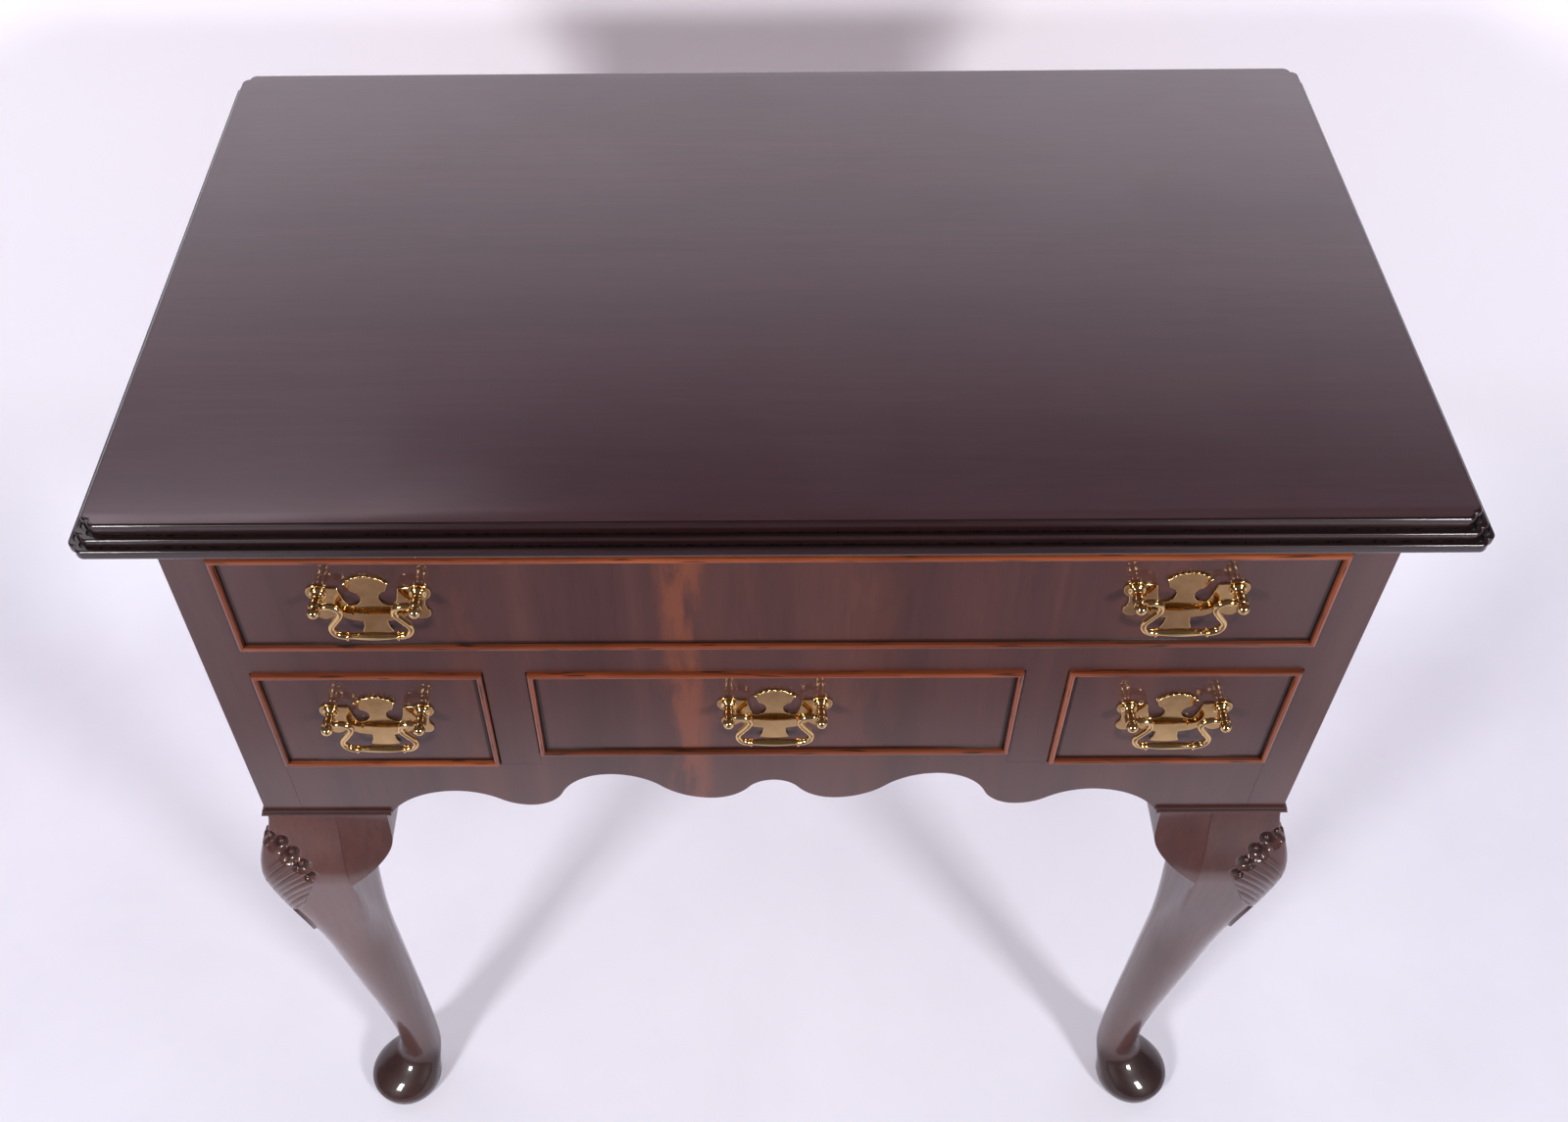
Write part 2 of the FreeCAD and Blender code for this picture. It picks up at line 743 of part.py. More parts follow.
def plate_half_outline():
    """The right half of a pull plate: a scalloped fan, a C-shaped notch, a wing, an ear and a lug."""
    half_lobe = plate_fan_half_angle / plate_fan_lobes
    points = []
    for index in range(plate_fan_lobes + 1):
        angle = math.radians(90 - half_lobe * index)
        radius = plate_fan_radius + (plate_lobe_height if index % 2 == 0 else 0.0)
        points.append((radius * math.cos(angle), radius * math.sin(angle)))
    notch = swing(plate_waist + plate_notch_radius, -plate_notch_drop, plate_notch_radius, plate_notch_arc, 4)
    wing_x = post_spacing / 2 + plate_wing_out
    wing = swing(wing_x, 0, plate_wing_radius, plate_wing_arc, 4)
    ear = swing(wing_x - plate_ear_in, -plate_ear_drop, plate_ear_radius, plate_ear_arc, 3)
    hook_x = wing[0][0] - plate_wing_radius
    scroll_x = ear[-1][0] - plate_ear_radius * plate_scroll_share
    neck_x = plate_lug_half * plate_neck_share
    points += notch
    points += [((notch[-1][0] + hook_x) / 2, -plate_notch_drop), (hook_x, wing[0][1])]
    points += wing
    points += [(wing[-1][0] - plate_hollow, (wing[-1][1] + ear[0][1]) / 2)]
    points += ear
    points += [(scroll_x, -plate_ear_drop - plate_scroll_drop),
               ((scroll_x + neck_x + plate_hollow) / 2, -plate_ear_drop - plate_neck_high),
               (neck_x, -plate_ear_drop - plate_neck_low),
               (neck_x + plate_neck_swell, -plate_lug_drop + plate_lug_shoulder),
               (plate_lug_half, -plate_lug_drop),
               (plate_lug_half / 2, -plate_lug_drop - plate_lug_sag)]
    return points


def make_plate(x, z):
    """A thin brass plate under the two posts of one pull."""
    half = plate_half_outline()
    tail = [(0.0, -plate_lug_drop - plate_hollow)]
    mirrored = [(-a, b) for a, b in reversed(half[1:])]
    outline = [Vector(x + a, front_y, z + b) for a, b in half + tail + mirrored]
    plate = prism(outline, FORWARD * plate_thickness)
    posts_x = [x + side * post_spacing / 2 for _, side in SIDES]
    return plate.cut(group([pull_shank(post_x, z, shank_clearance) for post_x in posts_x]))


def make_post(pull_x, side, z):
    """A turned post: shank, flange on the plate, neck, collar for the bail and a ball end."""
    waist = math.sqrt(ball_radius ** 2 - neck_radius ** 2)
    profile = [(shank_radius, -shank_length), (shank_radius, 0), (flange_radius, 0),
               (neck_radius, flange_thickness), (collar_radius, pivot_stand - collar_half),
               (collar_radius, pivot_stand + bail_pin_radius), (neck_radius, ball_stand - waist),
               (ball_radius, ball_stand), (neck_radius, ball_stand + waist),
               (ball_tip_radius, ball_stand + ball_radius)]
    x = pull_x + side * post_spacing / 2
    post = turned(Vector(x, plate_face_y, z), FORWARD, RIGHT, profile, post_sides)
    depth = bail_pin_reach + bail_shoulder_gap
    mouth = Vector(x - side * collar_radius, plate_face_y - pivot_stand, z)
    radius = bail_pin_radius + bail_pin_clearance
    bore = turned(mouth, RIGHT * side, UP, [(radius, -1.0), (radius, depth)], post_sides)
    return post.cut(bore)


def make_nut(x, z):
    """A hexagon nut behind the drawer front."""
    profile = [(nut_half_width, 0), (nut_half_width, nut_thickness)]
    nut = turned(Vector(x, frame_y, z), BACK, RIGHT, profile, 6)
    return nut.cut(pull_shank(x, z, shank_clearance))


def bail_half_path():
    """Place, heading and radius along the right half of a bail, from its pin to the middle of its grip."""
    shoulder = Vector(post_spacing / 2 - collar_radius - bail_shoulder_gap, 0, 0)
    pin_end = shoulder + RIGHT * (bail_pin_reach + bail_shoulder_gap)
    inward = -RIGHT
    path = [(pin_end, inward, bail_pin_radius), (shoulder, inward, bail_pin_radius),
            (shoulder, inward, bail_radius)]
    place = shoulder + inward * bail_straight
    path.append((place, inward, bail_radius))
    sweep = 90 + bail_lean
    heading_angle = 180.0
    for bend, turn in ((bail_shoulder_bend, 1), (bail_corner_bend, -1)):
        side_angle = math.radians(heading_angle + 90 * turn)
        centre = place + Vector(math.cos(side_angle), 0, math.sin(side_angle)) * bend
        for step in range(1, bend_steps + 1):
            angle = math.radians(heading_angle + turn * sweep * step / bend_steps)
            spoke = Vector(math.sin(angle), 0, -math.cos(angle)) * (turn * bend)
            place = centre + spoke
            heading = Vector(math.cos(angle), 0, math.sin(angle))
            path.append((place, heading, bail_radius))
        heading_angle += turn * sweep
        if turn > 0:
            place = place + heading * bail_arm
            path.append((place, heading, bail_radius))
    rings = ((bead_ring_inset - bead_ring_half, bail_radius), (bead_ring_inset, bead_ring_radius),
             (bead_ring_inset + bead_ring_half, grip_end_radius))
    for distance, radius in rings:
        path.append((place + inward * distance, inward, radius))
    return path


def make_bail(x, z):
    """A swan-neck bail hanging from its posts, with a swelled grip between two bead rings."""
    half = bail_half_path()
    middle = half[-1][0]
    path = half + [(Vector(0, 0, middle.z), -RIGHT, grip_radius)]
    path += [(Vector(-place.x, 0, place.z), Vector(heading.x, 0, -heading.z), radius)
             for place, heading, radius in reversed(half)]
    bail = loft([ring(place, BACK, heading.cross(BACK), radius, bail_sides)
                 for place, heading, radius in path])
    bail.translate(Vector(x, plate_face_y - pivot_stand, z))
    return bail


# ---- the whole piece ----
def make_carcass():
    save(make_top(), "top")
    save(make_top_screws(), "top_screws")
    save(make_top_battens(), "top_battens")
    for name, side in SIDES:
        save(make_side_panel(side), "side_panel_" + name)
        save(make_stile(side), "front_stile_" + name)
        save(make_divider(side), "drawer_divider_" + name)
    save(make_top_rail(), "top_rail")
    save(make_mid_rail(), "mid_rail")
    save(make_apron(), "front_apron")
    save(make_back_panel(), "back_panel")
    save(make_dust_board(), "dust_board")
    save(make_runners(), "drawer_runners")
    save(make_guides(), "drawer_guides")
    save(make_stops(), "drawer_stops")
    save(make_corner_blocks(), "corner_blocks")


def make_legs():
    save(make_dowels(), "leg_dowels")
    for name, sx, sy in LEGS:
        save(make_leg(sx, sy), "leg_" + name)
    for name, sx in SIDES:
        save(group([make_bracket(sx, -1, 0), make_bracket(sx, -1, 1)]), "knee_brackets_front_" + name)
    save(group([make_bracket(sx, 1, 1) for _, sx in SIDES]), "knee_brackets_rear")
    save(make_mouldings(), "leg_mouldings")


def make_drawers():
    """The four drawers, each with its bails: the long one has two pulls, and the others one."""
    long_width = 2 * (open_x - front_gap)
    centre_width = 2 * (divider_inner - front_gap)
    long_pulls = {"_left": -pull_spread, "_right": pull_spread}
    one_pull = {"": 0.0}
    drawers = (
        ("long_drawer", 0.0, long_width, long_drawer_height, long_floor, long_pulls),
        ("small_left_drawer", -small_x, small_drawer_width, small_drawer_height, small_floor, one_pull),
        ("centre_drawer", 0.0, centre_width, centre_drawer_height, centre_floor, one_pull),
        ("small_right_drawer", small_x, small_drawer_width, small_drawer_height, small_floor, one_pull),
    )
    for name, x, width, height, floor, pulls in drawers:
        post_z = make_drawer(name, x, width, height, floor, list(pulls.values()))
        for end, place in pulls.items():
            save(make_bail(x + place, post_z), name + "_bail" + end)


make_carcass()
make_legs()
make_drawers()
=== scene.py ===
# %% [markdown]
# # A lowboy, finished in polished veneer and brass
#
# The construction is already settled: every board, leg, drawer and pull comes in at its real size
# and place. This script gives those parts their finish. Flat boards keep the mesh that they came with
# and get a better material. Sawn, moulded, carved, turned and cast pieces are made again here with finer
# curves, each of them in the place of the plainer one. Only the pearls stand for no part.

# %% Load the frame
import math

import bmesh
import bpy
from mathutils import Matrix, Vector


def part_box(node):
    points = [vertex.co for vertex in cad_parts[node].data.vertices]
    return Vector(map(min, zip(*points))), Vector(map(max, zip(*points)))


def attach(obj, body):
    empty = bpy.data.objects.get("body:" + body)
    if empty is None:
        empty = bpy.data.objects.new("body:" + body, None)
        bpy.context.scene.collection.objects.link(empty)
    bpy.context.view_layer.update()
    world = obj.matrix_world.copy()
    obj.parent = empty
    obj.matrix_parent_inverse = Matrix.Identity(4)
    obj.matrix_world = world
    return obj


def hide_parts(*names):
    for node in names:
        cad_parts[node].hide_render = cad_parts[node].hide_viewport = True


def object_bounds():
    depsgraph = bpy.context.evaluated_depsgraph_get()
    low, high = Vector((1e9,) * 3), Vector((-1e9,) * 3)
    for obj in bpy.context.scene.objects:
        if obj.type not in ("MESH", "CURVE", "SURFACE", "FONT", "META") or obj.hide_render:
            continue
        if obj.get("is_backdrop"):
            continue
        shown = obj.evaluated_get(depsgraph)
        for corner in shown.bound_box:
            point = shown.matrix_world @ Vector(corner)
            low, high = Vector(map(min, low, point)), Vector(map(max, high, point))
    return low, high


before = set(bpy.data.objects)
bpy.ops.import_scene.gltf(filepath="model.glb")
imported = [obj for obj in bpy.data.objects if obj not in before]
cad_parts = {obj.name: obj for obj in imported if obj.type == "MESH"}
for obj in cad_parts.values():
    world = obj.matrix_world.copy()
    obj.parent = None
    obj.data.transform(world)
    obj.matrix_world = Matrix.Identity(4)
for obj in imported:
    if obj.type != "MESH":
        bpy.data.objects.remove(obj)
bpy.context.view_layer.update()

# %% [markdown]
# ## Units and the few sizes everything hangs on
#
# A cabinet maker thinks in millimetres and Blender works in metres, so shapes are worked out in millimetres
# and scaled once, when their mesh is made. The sizes that the construction already holds are
# measured from it and not typed again.

# %% Measure the carcass
MM = 0.001


def corners(node):
    """Lowest and highest corner of a part of the frame, in millimetres."""
    low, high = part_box(node)
    return low / MM, high / MM


top_low, top_high = corners("top")
stile_low, stile_high = corners("front_stile_right")
half_width = stile_high.x
front_y = stile_low.y
back_y = corners("back_panel")[1].y
under_top = top_low.z
leg_height = stile_low.z
print("case", round(2 * half_width), "mm wide, on legs of", round(leg_height), "mm")

# %% [markdown]
# ## Helpers for meshes
#
# Most of the pieces here are lofts: a row of closed outlines, joined by faces and closed at both ends. One
# helper makes the mesh, turns the normals outwards and marks only the real arrises as sharp, so that
# polished curves catch long unbroken highlights. Another seats the finished piece: it names the body that
# the piece moves with and the plainer part that it stands for.

# %% Build and seat pieces
def add_object(name, data):
    """An object of this mesh, lens or lamp, placed in the scene."""
    thing = bpy.data.objects.new(name, data)
    bpy.context.scene.collection.objects.link(thing)
    return thing


def finish_mesh(mesh, arris=32.0):
    """Turn every face outwards, and shade smoothly over edges flatter than the arris angle."""
    shape = bmesh.new()
    shape.from_mesh(mesh)
    bmesh.ops.recalc_face_normals(shape, faces=shape.faces)
    shape.to_mesh(mesh)
    shape.free()
    mesh.shade_smooth()
    mesh.set_sharp_from_angle(angle=math.radians(arris))


def make_piece(name, solid, materials, places=None, arris=32.0):
    """A mesh object of a solid in millimetres; places give the number of each face's material."""
    points, faces = solid
    mesh = bpy.data.meshes.new(name)
    mesh.from_pydata([Vector(point) * MM for point in points], [], faces)
    for material in materials:
        mesh.materials.append(material)
    if places:
        mesh.polygons.foreach_set("material_index", places)
    finish_mesh(mesh, arris)
    return add_object(name, mesh)


def seat(piece, body, node=None):
    """Let a piece move with a body and, where a node is named, stand for it."""
    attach(piece, body)
    if node:
        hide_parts(node)


print("pieces are made in units of", MM, "m")

# %% Loft and gather solids
def loft(rings):
    """Points and faces of a closed solid through rings with equally many points."""
    size = len(rings[0])
    points = [point for ring in rings for point in ring]
    faces = []
    for level in range(len(rings) - 1):
        low = level * size
        high = low + size
        for index in range(size):
            after = (index + 1) % size
            faces.append((low + index, low + after, high + after, high + index))
    faces.append(tuple(reversed(range(size))))
    faces.append(tuple(range(len(points) - size, len(points))))
    return points, faces


def gather(solids):
    """Several solids of points and faces, as one."""
    points, faces = [], []
    for solid_points, solid_faces in solids:
        start = len(points)
        points += solid_points
        faces += [tuple(start + index for index in face) for face in solid_faces]
    return points, faces


square = ((0, 0, 0), (1, 0, 0), (1, 1, 0), (0, 1, 0))
print("a loft of two squares has", len(loft((square, square))[1]), "faces")

# %% Draw curves
def arc(centre_x, centre_z, radius, start, end, steps):
    """Points along an arc between two angles in degrees."""
    angles = [math.radians(start + (end - start) * index / steps) for index in range(steps + 1)]
    return [(centre_x + radius * math.cos(a), centre_z + radius * math.sin(a)) for a in angles]


def ease(t):
    """A smooth step from 0 to 1."""
    t = min(1.0, max(0.0, t))
    return t * t * (3 - 2 * t)


def blend(start, end, share):
    """A share of the way from one value to another."""
    return start + (end - start) * share


print("a quarter of the way along, a smooth step has risen to", ease(0.25))

# %% [markdown]
# ## The camera
#
# The camera stands close in front of the piece, above it, and looks down at the top, so the legs draw
# together towards the floor. A slightly shifted lens keeps the picture's frame where it belongs.

# %% Set the camera
camera_place = Vector((-15.6, -720.8, 1331.8))
camera_yaw = -0.0126
camera_pitch = 0.8354
camera_roll = 0.0145
focal_pixels = 1615.84
image_width = 1600
image_height = 1145
optical_x = 748.82
optical_y = 526.84
sensor_width = 36.0


def camera_axes(yaw, pitch, roll):
    """Right, down and forward of a camera turned by yaw, lowered by pitch and rolled about its view."""
    level = math.cos(pitch)
    forward = Vector((math.sin(yaw) * level, math.cos(yaw) * level, -math.sin(pitch)))
    right = Vector((math.cos(yaw), -math.sin(yaw), 0))
    down = forward.cross(right)
    turned_right = right * math.cos(roll) + down * math.sin(roll)
    turned_down = down * math.cos(roll) - right * math.sin(roll)
    return turned_right, turned_down, forward


lens = bpy.data.cameras.new("camera")
lens.sensor_width = sensor_width
lens.lens = focal_pixels * sensor_width / image_width
lens.shift_x = (image_width / 2 - optical_x) / image_width
lens.shift_y = (optical_y - image_height / 2) / image_width
lens.clip_start = 0.05
lens.clip_end = 50
camera = add_object("camera", lens)
right, down, forward = camera_axes(camera_yaw, camera_pitch, camera_roll)
camera.matrix_world = Matrix((
    (right.x, -down.x, -forward.x, camera_place.x * MM),
    (right.y, -down.y, -forward.y, camera_place.y * MM),
    (right.z, -down.z, -forward.z, camera_place.z * MM),
    (0, 0, 0, 1),
))
bpy.context.scene.camera = camera
print("lens", round(lens.lens, 2), "mm, shift", round(lens.shift_x, 4), round(lens.shift_y, 4))

# %% [markdown]
# ## Helpers for materials
#
# A material is a small recipe of nodes. These helpers add a node, set what is fixed about it and join it
# to what is there already, so that each finish below reads as a list of its ingredients.

# %% Add and join nodes
def new_material(name):
    """An empty material with one Principled shader."""
    material = bpy.data.materials.new(name)
    material.use_nodes = True
    material.node_tree.nodes.clear()
    output = add_node(material, "OutputMaterial")
    shader = add_node(material, "BsdfPrincipled")
    join(material, shader.outputs["BSDF"], output.inputs["Surface"])
    return material, shader


def add_node(material, kind):
    """A shader node, by the end of its type's name."""
    return material.node_tree.nodes.new("ShaderNode" + kind)


def join(material, source, target):
    """Lead one socket to another."""
    material.node_tree.links.new(source, target)


def feed(material, value, target):
    """Lead a socket to another, or set the target to a fixed number or colour."""
    if isinstance(value, bpy.types.NodeSocket):
        join(material, value, target)
    elif isinstance(value, tuple):
        target.default_value = (*value, 1.0)
    else:
        target.default_value = value


def mix(material, factor, first, second, kind="MIX"):
    """Mix two colours; the factor and each colour may be a socket or a fixed value."""
    node = add_node(material, "Mix")
    node.data_type = "RGBA"
    node.blend_type = kind
    feed(material, factor, node.inputs[0])
    feed(material, first, node.inputs[6])
    feed(material, second, node.inputs[7])
    return node.outputs[2]


def calculate(material, operation, first, second=0.0):
    """One sum of sockets or fixed numbers."""
    node = add_node(material, "Math")
    node.operation = operation
    feed(material, first, node.inputs[0])
    feed(material, second, node.inputs[1])
    return node.outputs[0]


def stretch(material, value, low, high, new_low, new_high):
    """Map a range smoothly onto another."""
    node = add_node(material, "MapRange")
    node.interpolation_type = "SMOOTHSTEP"
    join(material, value, node.inputs["Value"])
    for title, number in (("From Min", low), ("From Max", high), ("To Min", new_low), ("To Max", new_high)):
        node.inputs[title].default_value = number
    return node.outputs["Result"]


def shade(red, green, blue):
    """A colour written as it looks on screen, from 0 to 255, as the light that it stands for."""
    values = [value / 255 for value in (red, green, blue)]
    return tuple(v / 12.92 if v <= 0.04045 else ((v + 0.055) / 1.055) ** 2.4 for v in values)


print("middle grey on screen stands for", round(shade(128, 128, 128)[0], 3), "of white light")

# %% Measure the surface and draw patterns on it
def object_coordinates(material, scale=(1, 1, 1), place=(0, 0, 0)):
    """Object coordinates, stretched and moved by a Mapping node."""
    source = add_node(material, "TexCoord")
    mapping = add_node(material, "Mapping")
    mapping.inputs["Scale"].default_value = scale
    mapping.inputs["Location"].default_value = place
    join(material, source.outputs["Object"], mapping.inputs["Vector"])
    return mapping.outputs["Vector"]


def position(material):
    """The X, Y and Z of a point of the surface, in metres."""
    node = add_node(material, "SeparateXYZ")
    join(material, object_coordinates(material), node.inputs["Vector"])
    return node.outputs


def distance_from(material, value, middle):
    """How far a value is from a middle, on either side."""
    return calculate(material, "ABSOLUTE", calculate(material, "SUBTRACT", value, middle))


def noise(material, scale, detail, roughness=0.5, distortion=0.0, place=(0, 0, 0)):
    """Noise with a scale along each axis, in waves to the metre, moved to a place."""
    node = add_node(material, "TexNoise")
    node.inputs["Scale"].default_value = 1.0
    node.inputs["Detail"].default_value = detail
    node.inputs["Roughness"].default_value = roughness
    node.inputs["Distortion"].default_value = distortion
    join(material, object_coordinates(material, scale, place), node.inputs["Vector"])
    return node.outputs["Fac"]


def ramp(material, factor, stops):
    """A Color Ramp: each stop is a place from 0 to 1 and a colour."""
    node = add_node(material, "ValToRGB")
    elements = node.color_ramp.elements
    elements[0].position = stops[0][0]
    elements[-1].position = stops[-1][0]
    for place, _ in stops[1:-1]:
        elements.new(place)
    for element, (_, colour) in zip(elements, stops):
        element.color = (*colour, 1.0)
    join(material, factor, node.inputs["Fac"])
    return node.outputs["Color"]


def bump(material, shader, height, depth):
    """Raise the surface by up to a depth in millimetres."""
    node = add_node(material, "Bump")
    node.inputs["Strength"].default_value = 1.0
    node.inputs["Distance"].default_value = depth * MM
    join(material, height, node.inputs["Height"])
    join(material, node.outputs["Normal"], shader.inputs["Normal"])


print("patterns are drawn in object space, so they stay on a piece that moves")

# %% [markdown]
# ## Polished mahogany and walnut veneer
#
# Wood is drawn with three sizes of the same idea, noise stretched along the grain. Broad bands give the
# figure of the sheet, fine threads give the fibre, and short dark dashes give the open pores. A clear coat
# on top is the lacquer: it mirrors the room while the wood underneath stays soft.

# %% Recipe for wood
along_grain = 0.07
band_stretching = 2.5
fibre_scale = 260.0
pore_scale = 640.0
pore_darkness = 0.35
wood_gloss = 0.2
solid_relief = 0.006
veneer_relief = 0.004


def grain_scale(along, scale, stretching=1.0):
    """The scale of a pattern that is drawn out along the grain."""
    return tuple(scale * (along_grain / stretching if axis == along else 1.0) for axis in "xyz")


def wood_colour(material, along, shades, seed=0.0, figure=11.0, fleck=0.3, thread=0.4):
    """Colour, fibre and relief of a piece of wood, from its dark, middle and light shade."""
    place = (seed, seed * 0.7, seed * 1.3)
    bands = noise(material, grain_scale(along, figure, band_stretching), 4.0, 0.55, 0.6, place)
    fibre = noise(material, grain_scale(along, fibre_scale), 3.0, 0.6, 0.1, place)
    pores = noise(material, grain_scale(along, pore_scale), 1.0, 0.4, 0.0, place)
    colour = ramp(material, bands, tuple(zip((0.28, 0.5, 0.74), shades)))
    threads = ramp(material, fibre, ((0.3, (0.62, 0.58, 0.58)), (0.7, (1.25, 1.22, 1.2))))
    colour = mix(material, thread, colour, threads, "MULTIPLY")
    dashes = stretch(material, pores, 0.60, 0.72, 0.0, fleck)
    colour = mix(material, dashes, colour, tuple(value * pore_darkness for value in shades[0]))
    return colour, fibre, calculate(material, "SUBTRACT", fibre, dashes)


def lacquer(shader, gloss, coat, coat_roughness):
    """A rubbed finish: soft wood under a clear coat."""
    shader.inputs["Specular IOR Level"].default_value = gloss
    shader.inputs["Coat Weight"].default_value = coat
    shader.inputs["Coat Roughness"].default_value = coat_roughness
    shader.inputs["Coat IOR"].default_value = 1.5


def wood(name, along, shades, roughness=0.42, coat=0.8, coat_roughness=0.12, **recipe):
    """Solid wood with its grain along an axis; a coat of 0 leaves it bare."""
    material, shader = new_material(name)
    colour, fibre, relief = wood_colour(material, along, shades, **recipe)
    join(material, colour, shader.inputs["Base Color"])
    uneven = stretch(material, fibre, 0.2, 0.8, roughness - 0.05, roughness + 0.08)
    join(material, uneven, shader.inputs["Roughness"])
    lacquer(shader, wood_gloss, coat, coat_roughness)
    bump(material, shader, relief, solid_relief)
    return material


print("scale of the fibre with its grain upright", grain_scale("z", fibre_scale))

# %% [markdown]
# ## Painted shade in the recesses
#
# Shade is painted wherever the light can't reach: round the carving and beside the beads. The legs carry an
# attribute that says how deep in a recess each point is. The material reads it, paints the dark of shade
# there and dulls the coat. The feet are made darker towards the floor, by their height alone.

# %% Painted shade
# The dark colour of painted shade; the feet are darkened with it too.
painted_shade_colour = shade(16, 11, 12)
recess_shade = 0.85
foot_strength = 0.62
# Heights in metres between which the dark of the feet fades.
foot_fade = (0.02, 0.065)
leg_coat = 0.8


def darken_recesses(material):
    """Paint dark shade where the mesh's recess attribute is high, dull the coat there, and darken the feet.
    """
    shader = next(node for node in material.node_tree.nodes if node.type == "BSDF_PRINCIPLED")
    recess = add_node(material, "Attribute")
    recess.attribute_name = "recess"
    depth = recess.outputs["Fac"]
    colour = shader.inputs["Base Color"].links[0].from_socket
    # Painted shade over the recesses, as deep as the recess attribute says.
    colour = mix(material, stretch(material, depth, 0.0, 1.0, 0.0, recess_shade), colour, painted_shade_colour)
    # The feet are made darker towards the floor, in the same colour.
    low = stretch(material, position(material)[2], *foot_fade, foot_strength, 0.0)
    join(material, mix(material, low, colour, painted_shade_colour), shader.inputs["Base Color"])
    dulled = stretch(material, depth, 0.0, 1.0, leg_coat, leg_coat * 0.25)
    join(material, dulled, shader.inputs["Coat Weight"])


def make_sunk_line_shade():
    """Painted shade so dark that it hides the wood, for the sunk lines of the top's edge."""
    material, shader = new_material("sunk_line_shade")
    mottle = noise(material, (300.0, 300.0, 300.0), 2.0)
    colour = ramp(material, mottle, ((0.3, shade(14, 9, 11)), (0.7, shade(22, 13, 15))))
    join(material, colour, shader.inputs["Base Color"])
    join(material, stretch(material, mottle, 0.3, 0.7, 0.25, 0.45), shader.inputs["Roughness"])
    lacquer(shader, 0.5, 0.8, 0.15)
    return material


# The sunk lines of the top's edge take painted shade.
sunk_line_shade = make_sunk_line_shade()
print("glaze ready, laid over", recess_shade, "of a recess")

# %% Name the woods
leg_colours = (shade(56, 31, 29), shade(74, 44, 40), shade(88, 52, 45))
edge_colours = (shade(20, 9, 10), shade(32, 13, 14), shade(46, 19, 19))
moulding_colours = (shade(40, 20, 19), shade(60, 32, 29), shade(76, 42, 36))
bead_colours = (shade(58, 24, 14), shade(122, 59, 33), shade(160, 86, 48))
drawer_colours = (shade(168, 136, 98), shade(190, 160, 120), shade(206, 180, 142))
inner_colours = (shade(140, 106, 70), shade(166, 130, 90), shade(186, 152, 110))

leg_wood = wood("leg_wood", "z", leg_colours, seed=3.1, figure=14.0, fleck=0.15, coat=leg_coat,
                coat_roughness=0.07)
darken_recesses(leg_wood)
edge_wood = wood("edge_wood", "x", edge_colours, seed=5.2, roughness=0.35, coat_roughness=0.08)
moulding_wood = wood("moulding_wood", "x", moulding_colours, seed=6.4)
side_moulding_wood = wood("side_moulding_wood", "y", moulding_colours, seed=6.9)
bead_across = wood("bead_across", "x", bead_colours, seed=8.2, figure=60.0, fleck=0.75, thread=0.8)
bead_upright = wood("bead_upright", "z", bead_colours, seed=8.8, figure=60.0, fleck=0.75, thread=0.8)
drawer_wood = wood("drawer_wood", "y", drawer_colours, seed=9.5, roughness=0.55, coat=0.1)
bottom_wood = wood("bottom_wood", "x", drawer_colours, seed=10.5, roughness=0.6, coat=0.05)
inner_wood = wood("inner_wood", "x", inner_colours, seed=12.5, roughness=0.65, coat=0.0)
runner_wood = wood("runner_wood", "y", inner_colours, seed=13.5, roughness=0.65, coat=0.0)
print("materials so far", len(bpy.data.materials))

# %% [markdown]
# ## Front veneer
#
# The drawer fronts, rails and apron are cut from one sheet with its grain upright, so the same streaks run
# down through all of them. One light stripe passes left of the middle, with a fainter one on each side
# of it. Just inside the beads a dark double line of painted shadow runs at the sides and along the bottom.

# %% Veneer for the case and the drawers
veneer_colours = (shade(54, 30, 29), shade(67, 39, 37), shade(81, 48, 43))
veneer_coat = 0.85
stripe_colour = shade(116, 62, 40)
# Middle and half width of each stripe, in metres, and its strength.
stripes = ((-0.052, 0.020, 0.75), (0.052, 0.030, 0.16), (-0.176, 0.016, 0.16))
bead_width = 3.2
# Width of the painted shadow beside the beads, in millimetres.
shadow_line_width = 4.2
# The double line of painted shadow: how far across its width, and how dark.
shadow_lines = ((0.0, 1.0), (0.16, 0.95), (0.34, 0.4), (0.5, 0.85), (0.85, 0.0))


def edge_distance(material, low, high):
    """Distance in metres inwards from the nearest side or from the bottom of an upright rectangle."""
    x, _, z = position(material)
    from_middle = distance_from(material, x, (low.x + high.x) / 2 * MM)
    inside_x = calculate(material, "SUBTRACT", (high.x - low.x) / 2 * MM, from_middle)
    inside_z = calculate(material, "SUBTRACT", z, low.z * MM)
    return calculate(material, "MINIMUM", inside_x, inside_z)


def shadowed_edges(material, low, high):
    """How dark the painted shadow line is, on the face of a drawer front between two corners."""
    inside = edge_distance(material, low, high)
    across = stretch(material, inside, bead_width * MM, (bead_width + shadow_line_width) * MM, 0.0, 1.0)
    lines = ramp(material, across, [(place, (dark, dark, dark)) for place, dark in shadow_lines])
    y = position(material)[1]
    on_face = stretch(material, y, (front_y + 0.2) * MM, (front_y + 0.6) * MM, 1.0, 0.0)
    return calculate(material, "MULTIPLY", lines, on_face)


